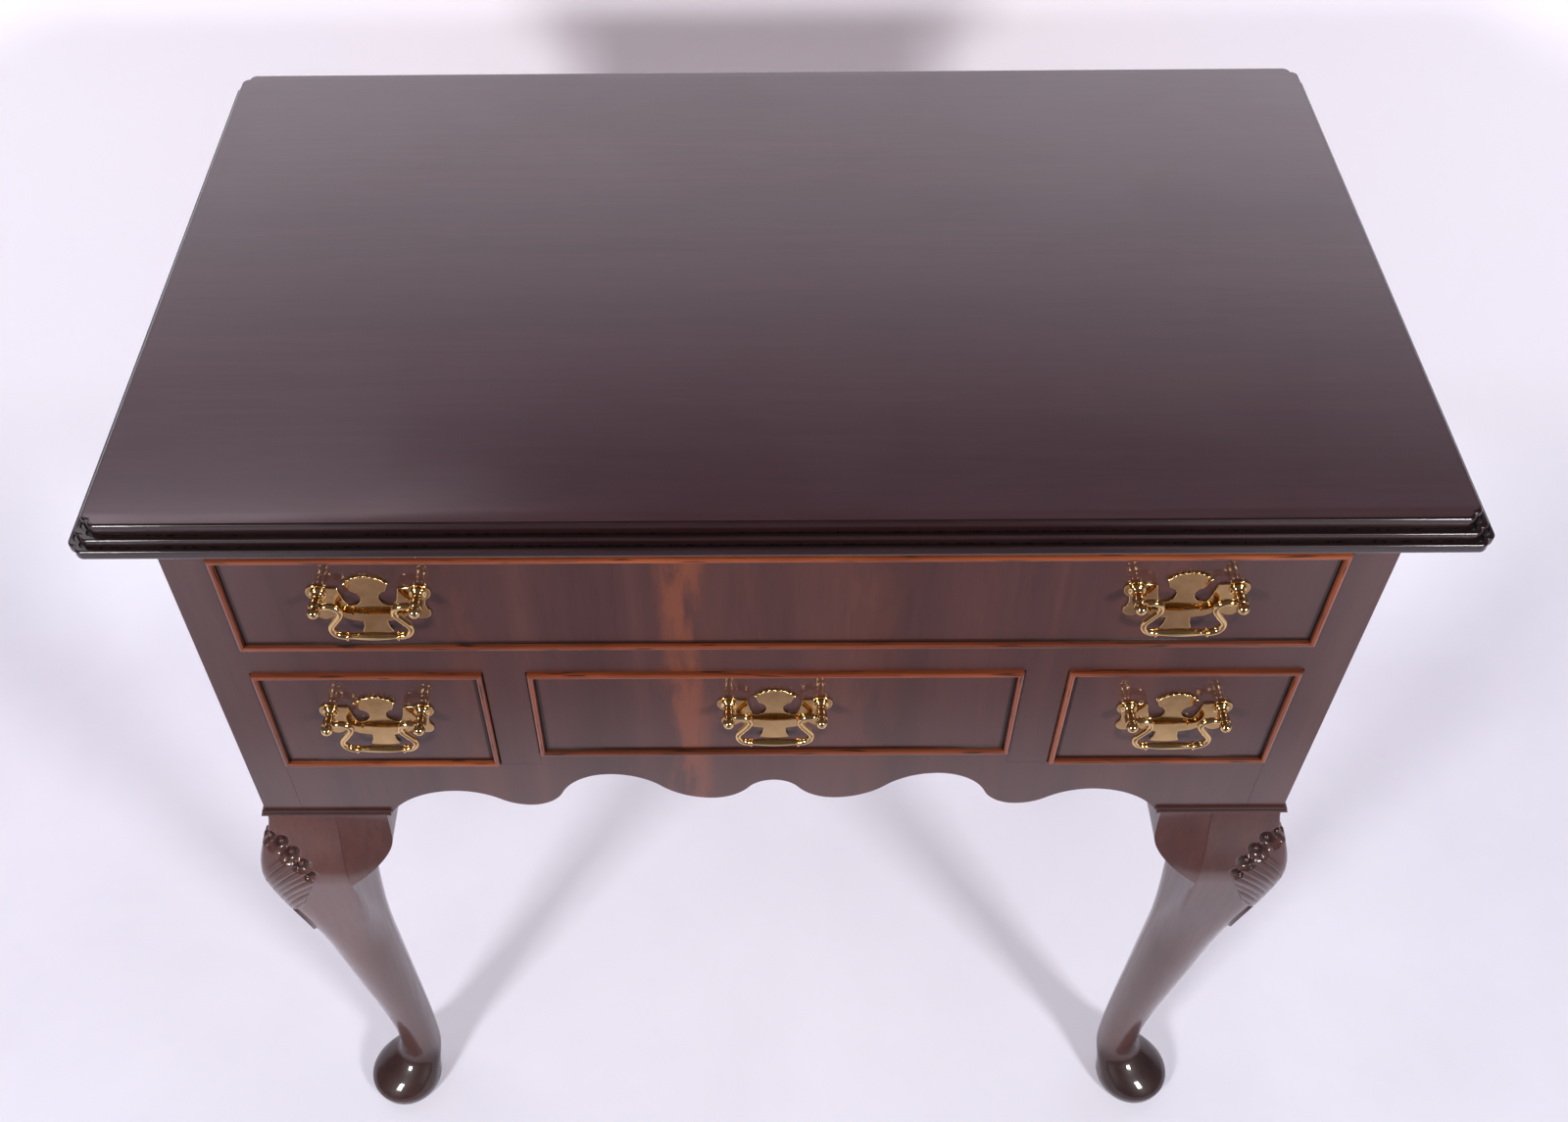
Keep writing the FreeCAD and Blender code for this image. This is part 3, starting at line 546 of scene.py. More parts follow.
def front_veneer(name, shadowed=None):
    """Upright veneer; given the corners of a front, a painted shadow line darkens its sides and bottom."""
    material, shader = new_material(name)
    colour, fibre, relief = wood_colour(material, "z", veneer_colours, figure=17.0, fleck=0.12, thread=0.28)
    lacquer(shader, 0.18, veneer_coat, 0.1)
    x = position(material)[0]
    mottled = noise(material, (60.0, 60.0, 14.0), 4.0, 0.6, 0.4)
    patchy = stretch(material, mottled, 0.38, 0.62, 0.1, 1.0)
    for middle, half, strength in stripes:
        in_stripe = stretch(material, distance_from(material, x, middle), half, half * 0.2, 0.0, strength)
        colour = mix(material, calculate(material, "MULTIPLY", in_stripe, patchy), colour, stripe_colour)
    # Painted shadow inside the beads: a dark double line, where the coat thins so that little is mirrored.
    if shadowed:
        lines = shadowed_edges(material, *shadowed)
        colour = mix(material, lines, colour, painted_shade_colour)
        join(material, stretch(material, lines, 0.0, 1.0, veneer_coat, 0.1), shader.inputs["Coat Weight"])
    join(material, colour, shader.inputs["Base Color"])
    join(material, stretch(material, fibre, 0.2, 0.8, 0.36, 0.48), shader.inputs["Roughness"])
    bump(material, shader, relief, veneer_relief)
    return material


case_veneer = front_veneer("case_veneer")
side_veneer = wood("side_veneer", "z", veneer_colours, seed=2.2, figure=15.0, coat=veneer_coat,
                   coat_roughness=0.1)
print("stripes", len(stripes))

# %% [markdown]
# ## The veneer of the top
#
# The top is one long sheet with its grain from side to side. It has been rubbed and handled for years, so
# its polish is a little duller than that of the front, with faint smears where the coat has softened.

# %% Veneer for the top
top_colours = (shade(56, 33, 37), shade(68, 41, 44), shade(80, 50, 50))
top_tint = (1.0, 0.84, 0.98, 1.0)


def make_top_veneer():
    """Veneer for the top, whose smears make its polish uneven."""
    material, shader = new_material("top_veneer")
    colour, _, relief = wood_colour(material, "x", top_colours, seed=1.4, figure=9.0, fleck=0.15, thread=0.3)
    smears = noise(material, (7.0, 11.0, 1.0), 5.0, 0.6, 0.8)
    join(material, colour, shader.inputs["Base Color"])
    join(material, stretch(material, smears, 0.3, 0.75, 0.3, 0.4), shader.inputs["Roughness"])
    lacquer(shader, 0.5, 1.0, 0.2)
    shader.inputs["Specular Tint"].default_value = top_tint
    join(material, stretch(material, smears, 0.35, 0.7, 0.17, 0.24), shader.inputs["Coat Roughness"])
    bump(material, shader, relief, veneer_relief)
    return material


top_veneer = make_top_veneer()
print("top veneer", len(top_veneer.node_tree.nodes), "nodes")

# %% [markdown]
# ## Lacquered brass and steel
#
# The pulls are polished brass, lacquered so that they stay pale. Brass is a metal, so almost all of its look
# is what it mirrors: the shader is fully metallic, with a little unevenness in the colour and polish.

# %% Metals
metal_relief = 0.004


def metal(name, dull, bright, roughness):
    """A metal whose colour and polish vary a little, as if by cloudy lacquer."""
    material, shader = new_material(name)
    cloud = noise(material, (120.0, 120.0, 120.0), 4.0, 0.6)
    fine = noise(material, (1500.0, 1500.0, 1500.0), 2.0)
    join(material, ramp(material, cloud, ((0.3, dull), (0.7, bright))), shader.inputs["Base Color"])
    uneven = stretch(material, cloud, 0.25, 0.75, roughness * 0.7, roughness * 1.3)
    join(material, uneven, shader.inputs["Roughness"])
    shader.inputs["Metallic"].default_value = 1.0
    bump(material, shader, fine, metal_relief)
    return material


brass = metal("brass", shade(208, 172, 116), shade(228, 193, 138), 0.09)
steel = metal("steel", shade(150, 150, 150), shade(180, 180, 178), 0.35)
print("metals", brass.name, "and", steel.name)

# %% [markdown]
# ## Give the flat boards their finish
#
# Boards that are already right keep their mesh. Each one gets the finish that it has on such a piece: veneer
# where it is seen, plain pale wood inside the drawers, and rougher wood in the framing.

# %% Dress the boards
DRAWERS = ("long_drawer", "small_left_drawer", "centre_drawer", "small_right_drawer")
BOARDS = (
    (case_veneer, "veneer", ("front_stile_left", "front_stile_right", "top_rail", "mid_rail",
                             "drawer_divider_left", "drawer_divider_right")),
    (inner_wood, "inner_wood", ("back_panel", "top_battens", "corner_blocks", "drawer_stops", "dust_board",
                                "leg_dowels")),
    (runner_wood, "inner_wood", ("drawer_runners", "drawer_guides")),
    (steel, "steel", ("top_screws",)),
)


def dress(node, material):
    """Give a part of the frame a new material, and keep its mesh."""
    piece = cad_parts[node]
    piece.data.materials.clear()
    piece.data.materials.append(material)


for material, slot, nodes in BOARDS:
    for node in nodes:
        dress(node, material)
for drawer in DRAWERS:
    dress(drawer + "_front", front_veneer(drawer + "_veneer", corners(drawer + "_front")))
    dress(drawer + "_sides", drawer_wood)
    dress(drawer + "_back", bottom_wood)
    dress(drawer + "_bottom", bottom_wood)
print("boards dressed", sum(len(nodes) for _, _, nodes in BOARDS) + 4 * len(DRAWERS))

# %% [markdown]
# ## The moulded top
#
# The edge of the top is worked in three steps. Each step has a rounded arris, and at the foot of the next
# one runs a fine sunk line, painted dark as shade. In plan the corners are cut to two small lobes that meet
# in a cusp. The edge is a loft of the plan, drawn in by the profile at each height.

# %% Make the top
lobe = 4.2
lobe_steps = 8
arris_steps = 5
quirk_depth = 0.8
quirk_width = 1.5
edge_round = 2.2
# Each step: how far it is set in, its height above the underside, and the round of its arris.
top_steps = ((0.0, 6.8, 1.1), (3.5, 11.4, 1.1), (7.4, top_high.z - top_low.z, 1.5))
EDGE, QUIRK, FACE, UNDER = 0, 1, 2, 3


def top_ring(inset, z):
    """The top in plan: each corner is two quarter-round lobes that meet in a cusp."""
    ring = []
    for quarter, (x, y) in enumerate(((1, -1), (1, 1), (-1, 1), (-1, -1))):
        corner = Vector((x * (top_high.x - inset), y * (top_high.y - inset), z))
        turn = Matrix.Rotation(math.pi / 2 * quarter, 3, "Z")
        for number in (1, 2):
            for step in range(number - 1, lobe_steps + 1):
                angle = math.pi / 2 * (step / lobe_steps - 1)
                along = lobe * (number - 3 + math.cos(angle))
                across = lobe * (number + math.sin(angle))
                ring.append(corner + turn @ Vector((along, across, 0)))
    return ring


def top_profile():
    """Inset, height above the underside and finish of each stretch of the edge, from below upwards."""
    angles = [math.pi / 2 * k / arris_steps for k in range(arris_steps + 1)]
    profile = [(edge_round - edge_round * math.sin(a), edge_round - edge_round * math.cos(a), EDGE)
               for a in angles]
    for number, (inset, height, radius) in enumerate(top_steps):
        if number > 0:
            floor = top_steps[number - 1][1] - quirk_depth
            profile.append((inset - quirk_width, floor + quirk_depth, EDGE))
            profile.append((inset - quirk_width * 0.6, floor, QUIRK))
            profile.append((inset, floor, QUIRK))
            profile.append((inset, floor + quirk_depth, QUIRK))
        profile += [(inset + radius * (1 - math.cos(a)), height - radius * (1 - math.sin(a)), EDGE)
                    for a in angles]
    return profile


def make_top():
    """The whole top, with its edge, its sunk lines, its face and its underside in their own finishes."""
    profile = top_profile()
    rings = [top_ring(inset, top_low.z + height) for inset, height, _ in profile]
    places = [place for _, _, place in profile[1:] for _ in rings[0]]
    return make_piece("top_board", loft(rings), (edge_wood, sunk_line_shade, top_veneer, inner_wood),
                      places + [UNDER, FACE], arris=28.0)


top_board = make_top()
seat(top_board, "root", "top")
print("top", len(top_board.data.polygons), "faces")

# %% [markdown]
# ## Boards with a shaped edge
#
# The apron is sawn to a run of arches and points, and the sides to one long low arch. The outline is drawn
# from arcs that leave each high and low point level, so the curves flow into each other. A small bevel takes
# the sharpness off the sawn edge, where the light would otherwise have nothing to catch.

# %% Draw a sawn outline and soften its edge
arc_steps = 14
arris_segments = 3
arris_angle = 40


def level_arc(level, end):
    """Points of an arc that leaves the first point level and ends at the second."""
    run = end[0] - level[0]
    rise = end[1] - level[1]
    turn = math.atan2(abs(rise), abs(run))
    radius = math.hypot(run, rise) / 2 / math.sin(turn)
    points = []
    for step in range(arc_steps + 1):
        angle = 2 * turn * step / arc_steps
        points.append((level[0] + math.copysign(radius * math.sin(angle), run),
                       level[1] + math.copysign(radius * (1 - math.cos(angle)), rise)))
    return points


def ogee(start, end, share):
    """Two arcs, each level at its own end, that meet a share of the way along."""
    meeting = (blend(start[0], end[0], share), blend(start[1], end[1], share))
    return level_arc(start, meeting) + level_arc(end, meeting)[-2::-1]


def slab(outline, direction):
    """Points and faces of a board: an outline in space, pulled along a direction."""
    near = [Vector(point) for point in outline]
    far = [point + direction for point in near]
    return loft([near, far])


def bevelled(piece, width):
    """Round the arrises of a piece, and keep the result as its mesh."""
    modifier = piece.modifiers.new("arris", "BEVEL")
    modifier.width = width * MM
    modifier.segments = arris_segments
    modifier.limit_method = "ANGLE"
    modifier.angle_limit = math.radians(arris_angle)
    modifier.harden_normals = True
    graph = bpy.context.evaluated_depsgraph_get()
    mesh = bpy.data.meshes.new_from_object(piece.evaluated_get(graph))
    piece.modifiers.clear()
    piece.data = mesh
    return piece


print("an ogee has", len(ogee((0, 0), (2, 1), 0.5)), "points")

# %% Make the apron and the sides
arch_end = 81.0
# The apron's high and low points: distance from the middle, and height above its lowest edge.
apron_points = ((201.0, 25.5), (154.0, 8.9), (102.0, 44.0), (38.5, 16.4), (0.0, 37.0))
apron_meetings = (0.6, 0.4, 0.5, 0.6)
side_arch_rise = 24.0
side_arch_shoulder = 48.0
apron_arris = 0.3
side_arris = 0.4


def apron_solid():
    """The apron, stepped on top where the middle drawer is shallower."""
    low, high = corners("front_apron")
    divider = corners("drawer_divider_right")[0]
    points = [(x, leg_height + z) for x, z in apron_points]
    half = [(high.x, divider.z), (high.x, leg_height)]
    half += level_arc(points[0], (half_width - arch_end, leg_height))[::-1]
    for start, end, share in zip(points, points[1:], apron_meetings):
        half += ogee(start, end, share)[1:]
    right_side = [(divider.x, high.z), (divider.x, divider.z)] + half
    left_side = [(-x, z) for x, z in reversed(right_side[:-1])]
    outline = [(x, front_y, z) for x, z in right_side + left_side]
    return slab(outline, Vector((0, high.y - low.y, 0)))


def side_solid(side):
    """A side with its long low arch: -1 for the left one and 1 for the right one."""
    low, high = corners("side_panel_right")
    start = front_y + arch_end
    end = back_y - arch_end
    peak = leg_height + side_arch_rise
    outline = [(low.y, under_top), (low.y, leg_height)]
    outline += level_arc((start + side_arch_shoulder, peak), (start, leg_height))[::-1]
    outline += level_arc((end - side_arch_shoulder, peak), (end, leg_height))
    outline += [(high.y, leg_height), (high.y, under_top)]
    return slab([(side * low.x, y, z) for y, z in outline], Vector((side * (high.x - low.x), 0, 0)))


apron = bevelled(make_piece("apron", apron_solid(), [case_veneer]), apron_arris)
seat(apron, "root", "front_apron")
for name, side in (("left", -1), ("right", 1)):
    panel = bevelled(make_piece("side_" + name, side_solid(side), [side_veneer]), side_arris)
    seat(panel, "root", "side_panel_" + name)
print("apron", len(apron.data.polygons), "faces, each side", len(panel.data.polygons))

# %% [markdown]
# ## Cockbeads
#
# A cockbead is a thin strip let into the rim of a drawer front, with its rounded nose standing proud. It
# hides the edge of the veneer and takes the knocks. Four strips meet in mitres, so each is a short loft
# from one slanted end to the other.

# %% Make the cockbeads
bead_set_in = 5.5
bead_stand = 3.0
nose_steps = 8


def bead_section():
    """Depth in from the rim, and y, round the section of a cockbead."""
    half = bead_width / 2
    nose = arc(half, front_y - bead_stand + half, half, 180, 360, nose_steps)
    return [(0.0, front_y + bead_set_in)] + nose + [(bead_width, front_y + bead_set_in)]


def bead_strip(low, high, along, across, sign):
    """One strip between mitred ends: along and across are the indexes of its axes, 0 for X and 2 for Z."""
    middle = (low + high) / 2
    half_along = (high[along] - low[along]) / 2
    half_across = (high[across] - low[across]) / 2
    rings = []
    for end in (-1, 1):
        ring = []
        for depth, y in bead_section():
            point = Vector((0, y, 0))
            point[along] = middle[along] + end * (half_along - depth)
            point[across] = middle[across] + sign * (half_across - depth)
            ring.append(point)
        rings.append(ring)
    return loft(rings)


for drawer in DRAWERS:
    low, high = corners(drawer + "_cockbead")
    strips = [bead_strip(low, high, along, 2 - along, sign) for along in (0, 2) for sign in (-1, 1)]
    half_faces = 2 * len(strips[0][1])
    bead = make_piece(drawer + "_beading", gather(strips), (bead_across, bead_upright),
                      [0] * half_faces + [1] * half_faces, arris=50.0)
    seat(bead, drawer, drawer + "_cockbead")
print("cockbeads round", len(DRAWERS), "drawers")

# %% [markdown]
# ## Cabriole legs
#
# A cabriole leg is sawn from a square post to an S in two directions, then rounded with a rasp. Its section
# runs from a square at the post to a circle at the ankle, and ends in a round pad. Here every section
# is a superellipse: one exponent takes it smoothly from square to round.

# %% Outline of a leg
post_width = 44.0
post_roundness = 0.02
knee_swell = 13.5
knee_drop = 70.0
knee_fullness = 1.2
knee_ridge_roundness = 0.35
knee_z = leg_height - knee_drop
round_below = 0.6
shank_bow = 5.0
ankle_radius = 16.0
ankle_height = 58.0
ankle_inset = 31.5
pad_radius = 29.0
pad_inset = 16.8
ankle_outer = ankle_inset - ankle_radius
ankle_inner = ankle_inset + ankle_radius
shank_slope = (ankle_outer + knee_swell) / (knee_z - ankle_height)
# Foot: share of the ankle's height, then how far the centre and the radius go from the ankle's to the pad's.
foot_profile = ((0.0, 1.0, 0.74), (0.03, 1.0, 0.87), (0.08, 1.0, 0.96), (0.14, 1.0, 0.995), (0.2, 1.0, 1.0),
                (0.28, 0.89, 0.89), (0.38, 0.65, 0.65), (0.48, 0.34, 0.34), (0.55, 0.16, 0.16),
                (0.64, 0.055, 0.055), (0.76, 0.01, 0.01), (1.0, 0.0, 0.0))


def smooth(rows, t):
    """Values at t on a smooth curve through rows, each of which begins with its own t."""
    last = len(rows) - 1
    start = max([k for k in range(last) if rows[k][0] <= t], default=0)
    low, high = rows[start], rows[start + 1]
    before, after = rows[max(start - 1, 0)], rows[min(start + 2, last)]
    span = high[0] - low[0]
    u = (t - low[0]) / span
    values = []
    for column in range(1, len(low)):
        leave = (high[column] - before[column]) / (high[0] - before[0]) * span
        arrive = (after[column] - low[column]) / (after[0] - low[0]) * span
        values.append(blend(low[column], high[column], u * u * (3 - 2 * u))
                      + leave * u * (1 - u) ** 2 - arrive * u * u * (1 - u))
    return values


def knee_outward(z):
    """How far the knee stands out past the post: it goes on along the shank's slope, then dies away."""
    t = min(1.0, max(0.0, (z - knee_z) / knee_drop))
    return knee_swell * (1 - ease(t ** knee_fullness)) + knee_drop * shank_slope * t * (1 - t) ** 2


def leg_station(z):
    """Outer and inner distance from the corner faces, and roundness of the ridge and the other corners."""
    if z < ankle_height:
        inward, spread = smooth(foot_profile, z / ankle_height)
        centre = blend(ankle_inset, pad_inset, inward)
        radius = blend(ankle_radius, pad_radius, spread)
        return centre - radius, centre + radius, 1.0, 1.0
    if z < knee_z:
        f = (z - ankle_height) / (knee_z - ankle_height)
        taper = f * (1 - (1 - f) ** shank_bow)
        square = ease((f - round_below) / (1 - round_below))
        return (blend(ankle_outer, -knee_swell, taper), blend(ankle_inner, post_width, taper),
                blend(1.0, knee_ridge_roundness, square), blend(1.0, post_roundness, square))
    ridge = blend(knee_ridge_roundness, post_roundness, ease((z - knee_z) / knee_drop))
    return -knee_outward(z), post_width, ridge, post_roundness


print("the knee stands out", round(knee_outward(knee_z), 1), "mm where the shank ends")

# %% Sections of a leg
outer_steps = 78
inner_steps = 18
ridge_index = 2 * inner_steps + outer_steps


def exponent(roundness):
    """The superellipse whose corner reaches as far as a square's softened by this roundness."""
    corner = math.sqrt(2) - (math.sqrt(2) - 1) * roundness
    return math.log(2) / math.log(math.sqrt(2) / corner)


def leg_angles(outer, inner):
    """Angles round a section, evenly spaced along each of its faces; the outer two carry the ridge."""
    angles = []
    for quarter, steps in enumerate((inner, inner, outer, outer)):
        angles += [math.pi / 2 * quarter + math.atan(2 * step / steps - 1) for step in range(steps)]
    return angles


def case_end(sy):
    """How far the front of the case (-1) or its back (1) is from the middle."""
    return -front_y if sy < 0 else back_y


def leg_point(sx, sy, z, angle):
    """A point of the leg at a corner of the case, at a height and an angle round its section."""
    outer, inner, ridge, corner = leg_station(z)
    half = (inner - outer) / 2
    centre = (inner + outer) / 2
    facing_ridge = max(0.0, -math.cos(angle - math.pi / 4))
    power = exponent(corner + (ridge - corner) * facing_ridge)
    reach = half * (abs(math.cos(angle)) ** power + abs(math.sin(angle)) ** power) ** (-1 / power)
    inset_x = centre + reach * math.cos(angle)
    inset_y = centre + reach * math.sin(angle)
    return Vector((sx * (half_width - inset_x), sy * (case_end(sy) - inset_y), z))


print("a carved section has", len(leg_angles(outer_steps, inner_steps)), "points")

# %% [markdown]
# ## A shell carved on each front knee
#
# Both front knees carry a carved shell that is wrapped over the ridge, with a small drop under it. The
# carving is drawn on a flat map: s is the distance round from the ridge and z is the height. Along the
# upper edge run scooped hollows, and all but the lowest pair hold a pearl. From them curved ribs sweep
# down and gather at the ridge.

# %% Draw the carving
pendant_low = 296.0
pendant_high = 336.0
pendant_half = 4.6
pendant_rise = 2.0
groove_width = 1.6
groove_depth = 0.6
shell_top = 434.0
shell_tip = 337.0
shell_rise = 2.2
shell_rim = 2.0
# The lower edge of the shell: height, and how far round from the ridge it reaches there.
shell_edge = ((337.0, 0.0), (345.0, 9.0), (352.0, 14.5), (362.0, 20.0), (373.0, 25.5), (382.0, 30.0),
              (390.0, 32.0), (398.0, 32.0), (406.0, 28.5), (415.0, 20.5), (423.0, 12.5), (430.0, 5.5),
              (434.0, 0.0))
# Each hollow of the upper edge: s, z and radius.
hollows = ((0.0, 428.0, 5.2), (8.8, 423.5, 6.0), (17.6, 414.5, 6.3), (25.8, 404.5, 6.0), (30.6, 394.0, 4.6))
hollow_depth = 2.4
# How much painted shade a hollow and the drop take.
hollow_shade = 0.8
pendant_shade = 0.85
rib_pitch = 7.2
rib_height = 1.2
rib_start = 38.0
rib_sweep = 45.0
rib_root = 1.5
rib_reach = 31.5
small_rib = 0.6


def shell_reach(z):
    """How far round from the ridge the shell reaches at a height."""
    if not shell_tip < z < shell_top:
        return 0.0
    return max(0.0, smooth(shell_edge, z)[0])


def ribs(s, z, rim):
    """Height and painted shade of the ribbed part of the shell; every other valley is shallower."""
    across = z - shell_tip - rib_sweep * math.sqrt((s + rib_root) / rib_reach)
    phase = (across - rib_start) / rib_pitch
    deep = 1.0 if round(phase) % 2 == 0 else small_rib
    valley = 1 - abs(math.sin(math.pi * phase)) ** 0.7
    ribbed = 1 - ease((across - rib_start - 4) / 8)
    return shell_rise * rim - rim * ribbed * rib_height * deep * valley, rim * ribbed * deep * valley ** 2


def carving(s, z):
    """How far the surface is raised at a place on the map, and how much painted shade it takes."""
    height, recess = 0.0, 0.0
    inside = shell_reach(z) - s
    if inside > 0:
        height, recess = ribs(s, z, ease(inside / shell_rim))
    # Painted shade in each hollow, darkest towards its middle.
    for place_s, place_z, radius in hollows:
        away = math.hypot(s - place_s, z - place_z) / radius
        if away < 1:
            height = min(height, -hollow_depth * (1 - away ** 4))
            recess = max(recess, hollow_shade * min(1.0, 1.6 * (1 - away ** 2)))
    # The drop stands out and is painted dark as shade; a plain groove runs round it.
    along = (z - pendant_low) / (pendant_high - pendant_low)
    if 0 < along < 1:
        half = pendant_half * math.sin(math.pi * along) ** 0.5
        if s < half:
            height = max(height, pendant_rise * min(1.0, 2.6 * (1 - s / half)))
            recess = max(recess, pendant_shade * min(1.0, 3 * (1 - s / half)))
        elif s < half + groove_width:
            height = min(height, -groove_depth * math.sin(math.pi * (s - half) / groove_width))
    return height, recess


def distances_from_ridge(ring):
    """How far round from the ridge each point of a ring's two outer faces is; the ridge comes first."""
    away = {ridge_index: 0.0}
    for step in (-1, 1):
        distance = 0.0
        for count in range(1, outer_steps + 1):
            here = (ridge_index + step * count) % len(ring)
            distance += (ring[here] - ring[(here - step) % len(ring)]).length
            away[here] = distance
    return away


def carved_ring(ring):
    """A ring of the leg with the carving raised on it, outwards from the middle, and its painted shade."""
    centre = sum(ring, Vector((0, 0, 0))) / len(ring)
    raised = list(ring)
    recesses = [0.0] * len(ring)
    for here, away in distances_from_ridge(ring).items():
        height, recesses[here] = carving(away, ring[here].z)
        raised[here] = ring[here] + (ring[here] - centre).normalized() * height
    return raised, recesses


print("the shell reaches", round(shell_reach(394.0), 1), "mm round from the ridge")

# %% Make the legs
LEGS = (("front_left", -1, -1), ("front_right", 1, -1), ("rear_left", -1, 1), ("rear_right", 1, 1))
foot_levels = 48
foot_crowding = 1.15
shank_levels = 34
carved_levels = 168
plain_levels = 44
plain_steps = 30
carving_start = pendant_low - 4


def leg_heights(knee_levels):
    """Levels of the sections from the sole up, closer over the foot and over the carving."""
    foot = [ankle_height * (k / foot_levels) ** foot_crowding for k in range(foot_levels)]
    shank = [blend(ankle_height, carving_start, k / shank_levels) for k in range(shank_levels)]
    knee = [blend(carving_start, leg_height, k / knee_levels) for k in range(knee_levels + 1)]
    return foot + shank + knee


def leg_rings(sx, sy, carved):
    """The sections of a leg, and how much painted shade each of their points takes."""
    angles = leg_angles(outer_steps if carved else plain_steps, inner_steps)
    rings, recesses = [], []
    for z in leg_heights(carved_levels if carved else plain_levels):
        ring = [leg_point(sx, sy, z, angle) for angle in angles]
        recess = [0.0] * len(ring)
        if carved and z > pendant_low:
            ring, recess = carved_ring(ring)
        rings.append(ring)
        recesses += recess
    return rings, recesses


for name, sx, sy in LEGS:
    rings, recesses = leg_rings(sx, sy, carved=sy < 0)
    leg = make_piece("cabriole_" + name, loft(rings), [leg_wood], arris=60.0)
    # The painted shade of each point is kept as its recess attribute.
    leg.data.attributes.new("recess", "FLOAT", "POINT").data.foreach_set("value", recesses)
    seat(leg, "root", "leg_" + name)
    print("leg", name, len(leg.data.polygons), "faces")

# %% [markdown]
# ## Knee brackets and the moulding above
#
# The curve of the knee is wider than the post, so small shaped blocks are glued beside it and carved in
# one sweep with it. A rear knee has one of them only, under the side of the case. Over the knees runs a
# thin moulding: a round bead with a smaller one above it.

# %% Make the brackets
bracket_width = 33.0
bracket_end_height = 26.0
bracket_depth = 30.0
bracket_end_swell = 0.45
bracket_curve = 0.55
bracket_slices = 20
bracket_rows = 18


def corner_spot(sx, sy, facing, along, out, z):
    """A point by a leg: along its front (facing 0) or side (facing 1) from the corner, and out from it."""
    if facing == 0:
        return Vector((sx * (half_width - along), sy * (case_end(sy) + out), z))
    return Vector((sx * (half_width + out), sy * (case_end(sy) - along), z))


def bracket_ring(sx, sy, facing, share):
    """An upright slice: its face follows the knee and dies back towards its end."""
    along = post_width + bracket_width * share
    drop = bracket_end_height + (knee_drop - bracket_end_height) * (1 - share) ** bracket_curve
    swell = 1 - (1 - bracket_end_swell) * share
    heights = [leg_height - drop * k / bracket_rows for k in range(bracket_rows + 1)]
    face = [corner_spot(sx, sy, facing, along, knee_outward(z) * swell, z) for z in heights]
    back = [corner_spot(sx, sy, facing, along, -bracket_depth, z) for z in (heights[-1], leg_height)]
    return face + back


def bracket_solid(sx, sy, facing):
    """A bracket, with its slices closer together towards its end."""
    shares = [math.sin(math.pi / 2 * k / bracket_slices) for k in range(bracket_slices + 1)]
    return loft([bracket_ring(sx, sy, facing, share) for share in shares])


def add_wood(name, solids, materials, places, node):
    """Several solids as one piece with its finishes, in the place of a node."""
    piece = make_piece(name, gather(solids), materials, places)
    seat(piece, "root", node)


for name, sx in (("left", -1), ("right", 1)):
    solids = [bracket_solid(sx, -1, facing) for facing in (0, 1)]
    add_wood("brackets_front_" + name, solids, [leg_wood], None, "knee_brackets_front_" + name)
solids = [bracket_solid(sx, 1, 1) for sx in (-1, 1)]
add_wood("brackets_rear", solids, [leg_wood], None, "knee_brackets_rear")
print("a bracket has", len(solids[0][1]), "faces")

# %% Make the mouldings
moulding_height = 5.4
moulding_stand = 2.7
bead_round = 1.25
upper_round = 0.85
upper_height = 4.0
hollow_height = 2.7


def moulding_section():
    """Stand-off and height round the section: a full bead, a quirk, and a small bead over it."""
    bead = arc(moulding_stand - bead_round, bead_round, bead_round, -90, 90, 8)
    quirk = (moulding_stand * 0.3, hollow_height)
    upper = arc(moulding_stand * 0.42, upper_height, upper_round, -70, 80, 6)
    return [(0.0, 0.0)] + bead + [quirk] + upper + [(0.3, moulding_height), (0.0, moulding_height)]


def moulding_strip(sx, sy, facing):
    """A strip from the corner, mitred there at the front, to the end of the arch."""
    mitre = 1.0 if sy < 0 else 0.0
    section = [(out, leg_height + rise) for out, rise in moulding_section()]
    return loft([[corner_spot(sx, sy, facing, -out * mitre, out, z) for out, z in section],
                 [corner_spot(sx, sy, facing, arch_end, out, z) for out, z in section]])


strips = [moulding_strip(sx, -1, 0) for sx in (-1, 1)]
strips += [moulding_strip(sx, sy, 1) for sx in (-1, 1) for sy in (-1, 1)]
strip_faces = len(strips[0][1])
add_wood("knee_mouldings", strips, (moulding_wood, side_moulding_wood),
         [0] * (2 * strip_faces) + [1] * (4 * strip_faces), "leg_mouldings")
print("strips of moulding", len(strips))

# %% [markdown]
# ## Pull plates
#
# Each pull has a thin cast plate with a scalloped fan above, a C-shaped notch on each side of its neck,
# wings under the posts, ears and a foot. The plate is an outline pulled forward by its thickness, with the
# rim softened so that it shines as a bright line.

# %% Place the pulls
pull_spread = 220.0
post_spacing = 54.0
plate_thickness = 1.4
plate_face = front_y - plate_thickness
fan_radius = 14.1
lobe_height = 0.7


def pull_places():
    """Drawer, centre x, height of the posts and bail body of every pull."""
    places = []
    for drawer in DRAWERS:
        low, high = corners(drawer + "_pull_plates")
        z = high.z - fan_radius - lobe_height
        if drawer == "long_drawer":
            places.append((drawer, -pull_spread, z, "long_drawer_bail_left"))
            places.append((drawer, pull_spread, z, "long_drawer_bail_right"))
        else:
            places.append((drawer, (low.x + high.x) / 2, z, drawer + "_bail"))
    return places


PULLS = pull_places()
print("pulls", [(drawer, round(x), round(z)) for drawer, x, z, _ in PULLS])

# %% Make the plates
fan_half_angle = 60.0
fan_lobes = 9
lobe_depth = 1.7
steps_per_lobe = 6
waist = 5.0
notch_radius = 6.0
notch_drop = 4.5
wing_radius = 6.4
ear_radius = 5.0
ear_drop = 17.0
lug_half = 8.8
lug_drop = 33.5
plate_arris = 0.5


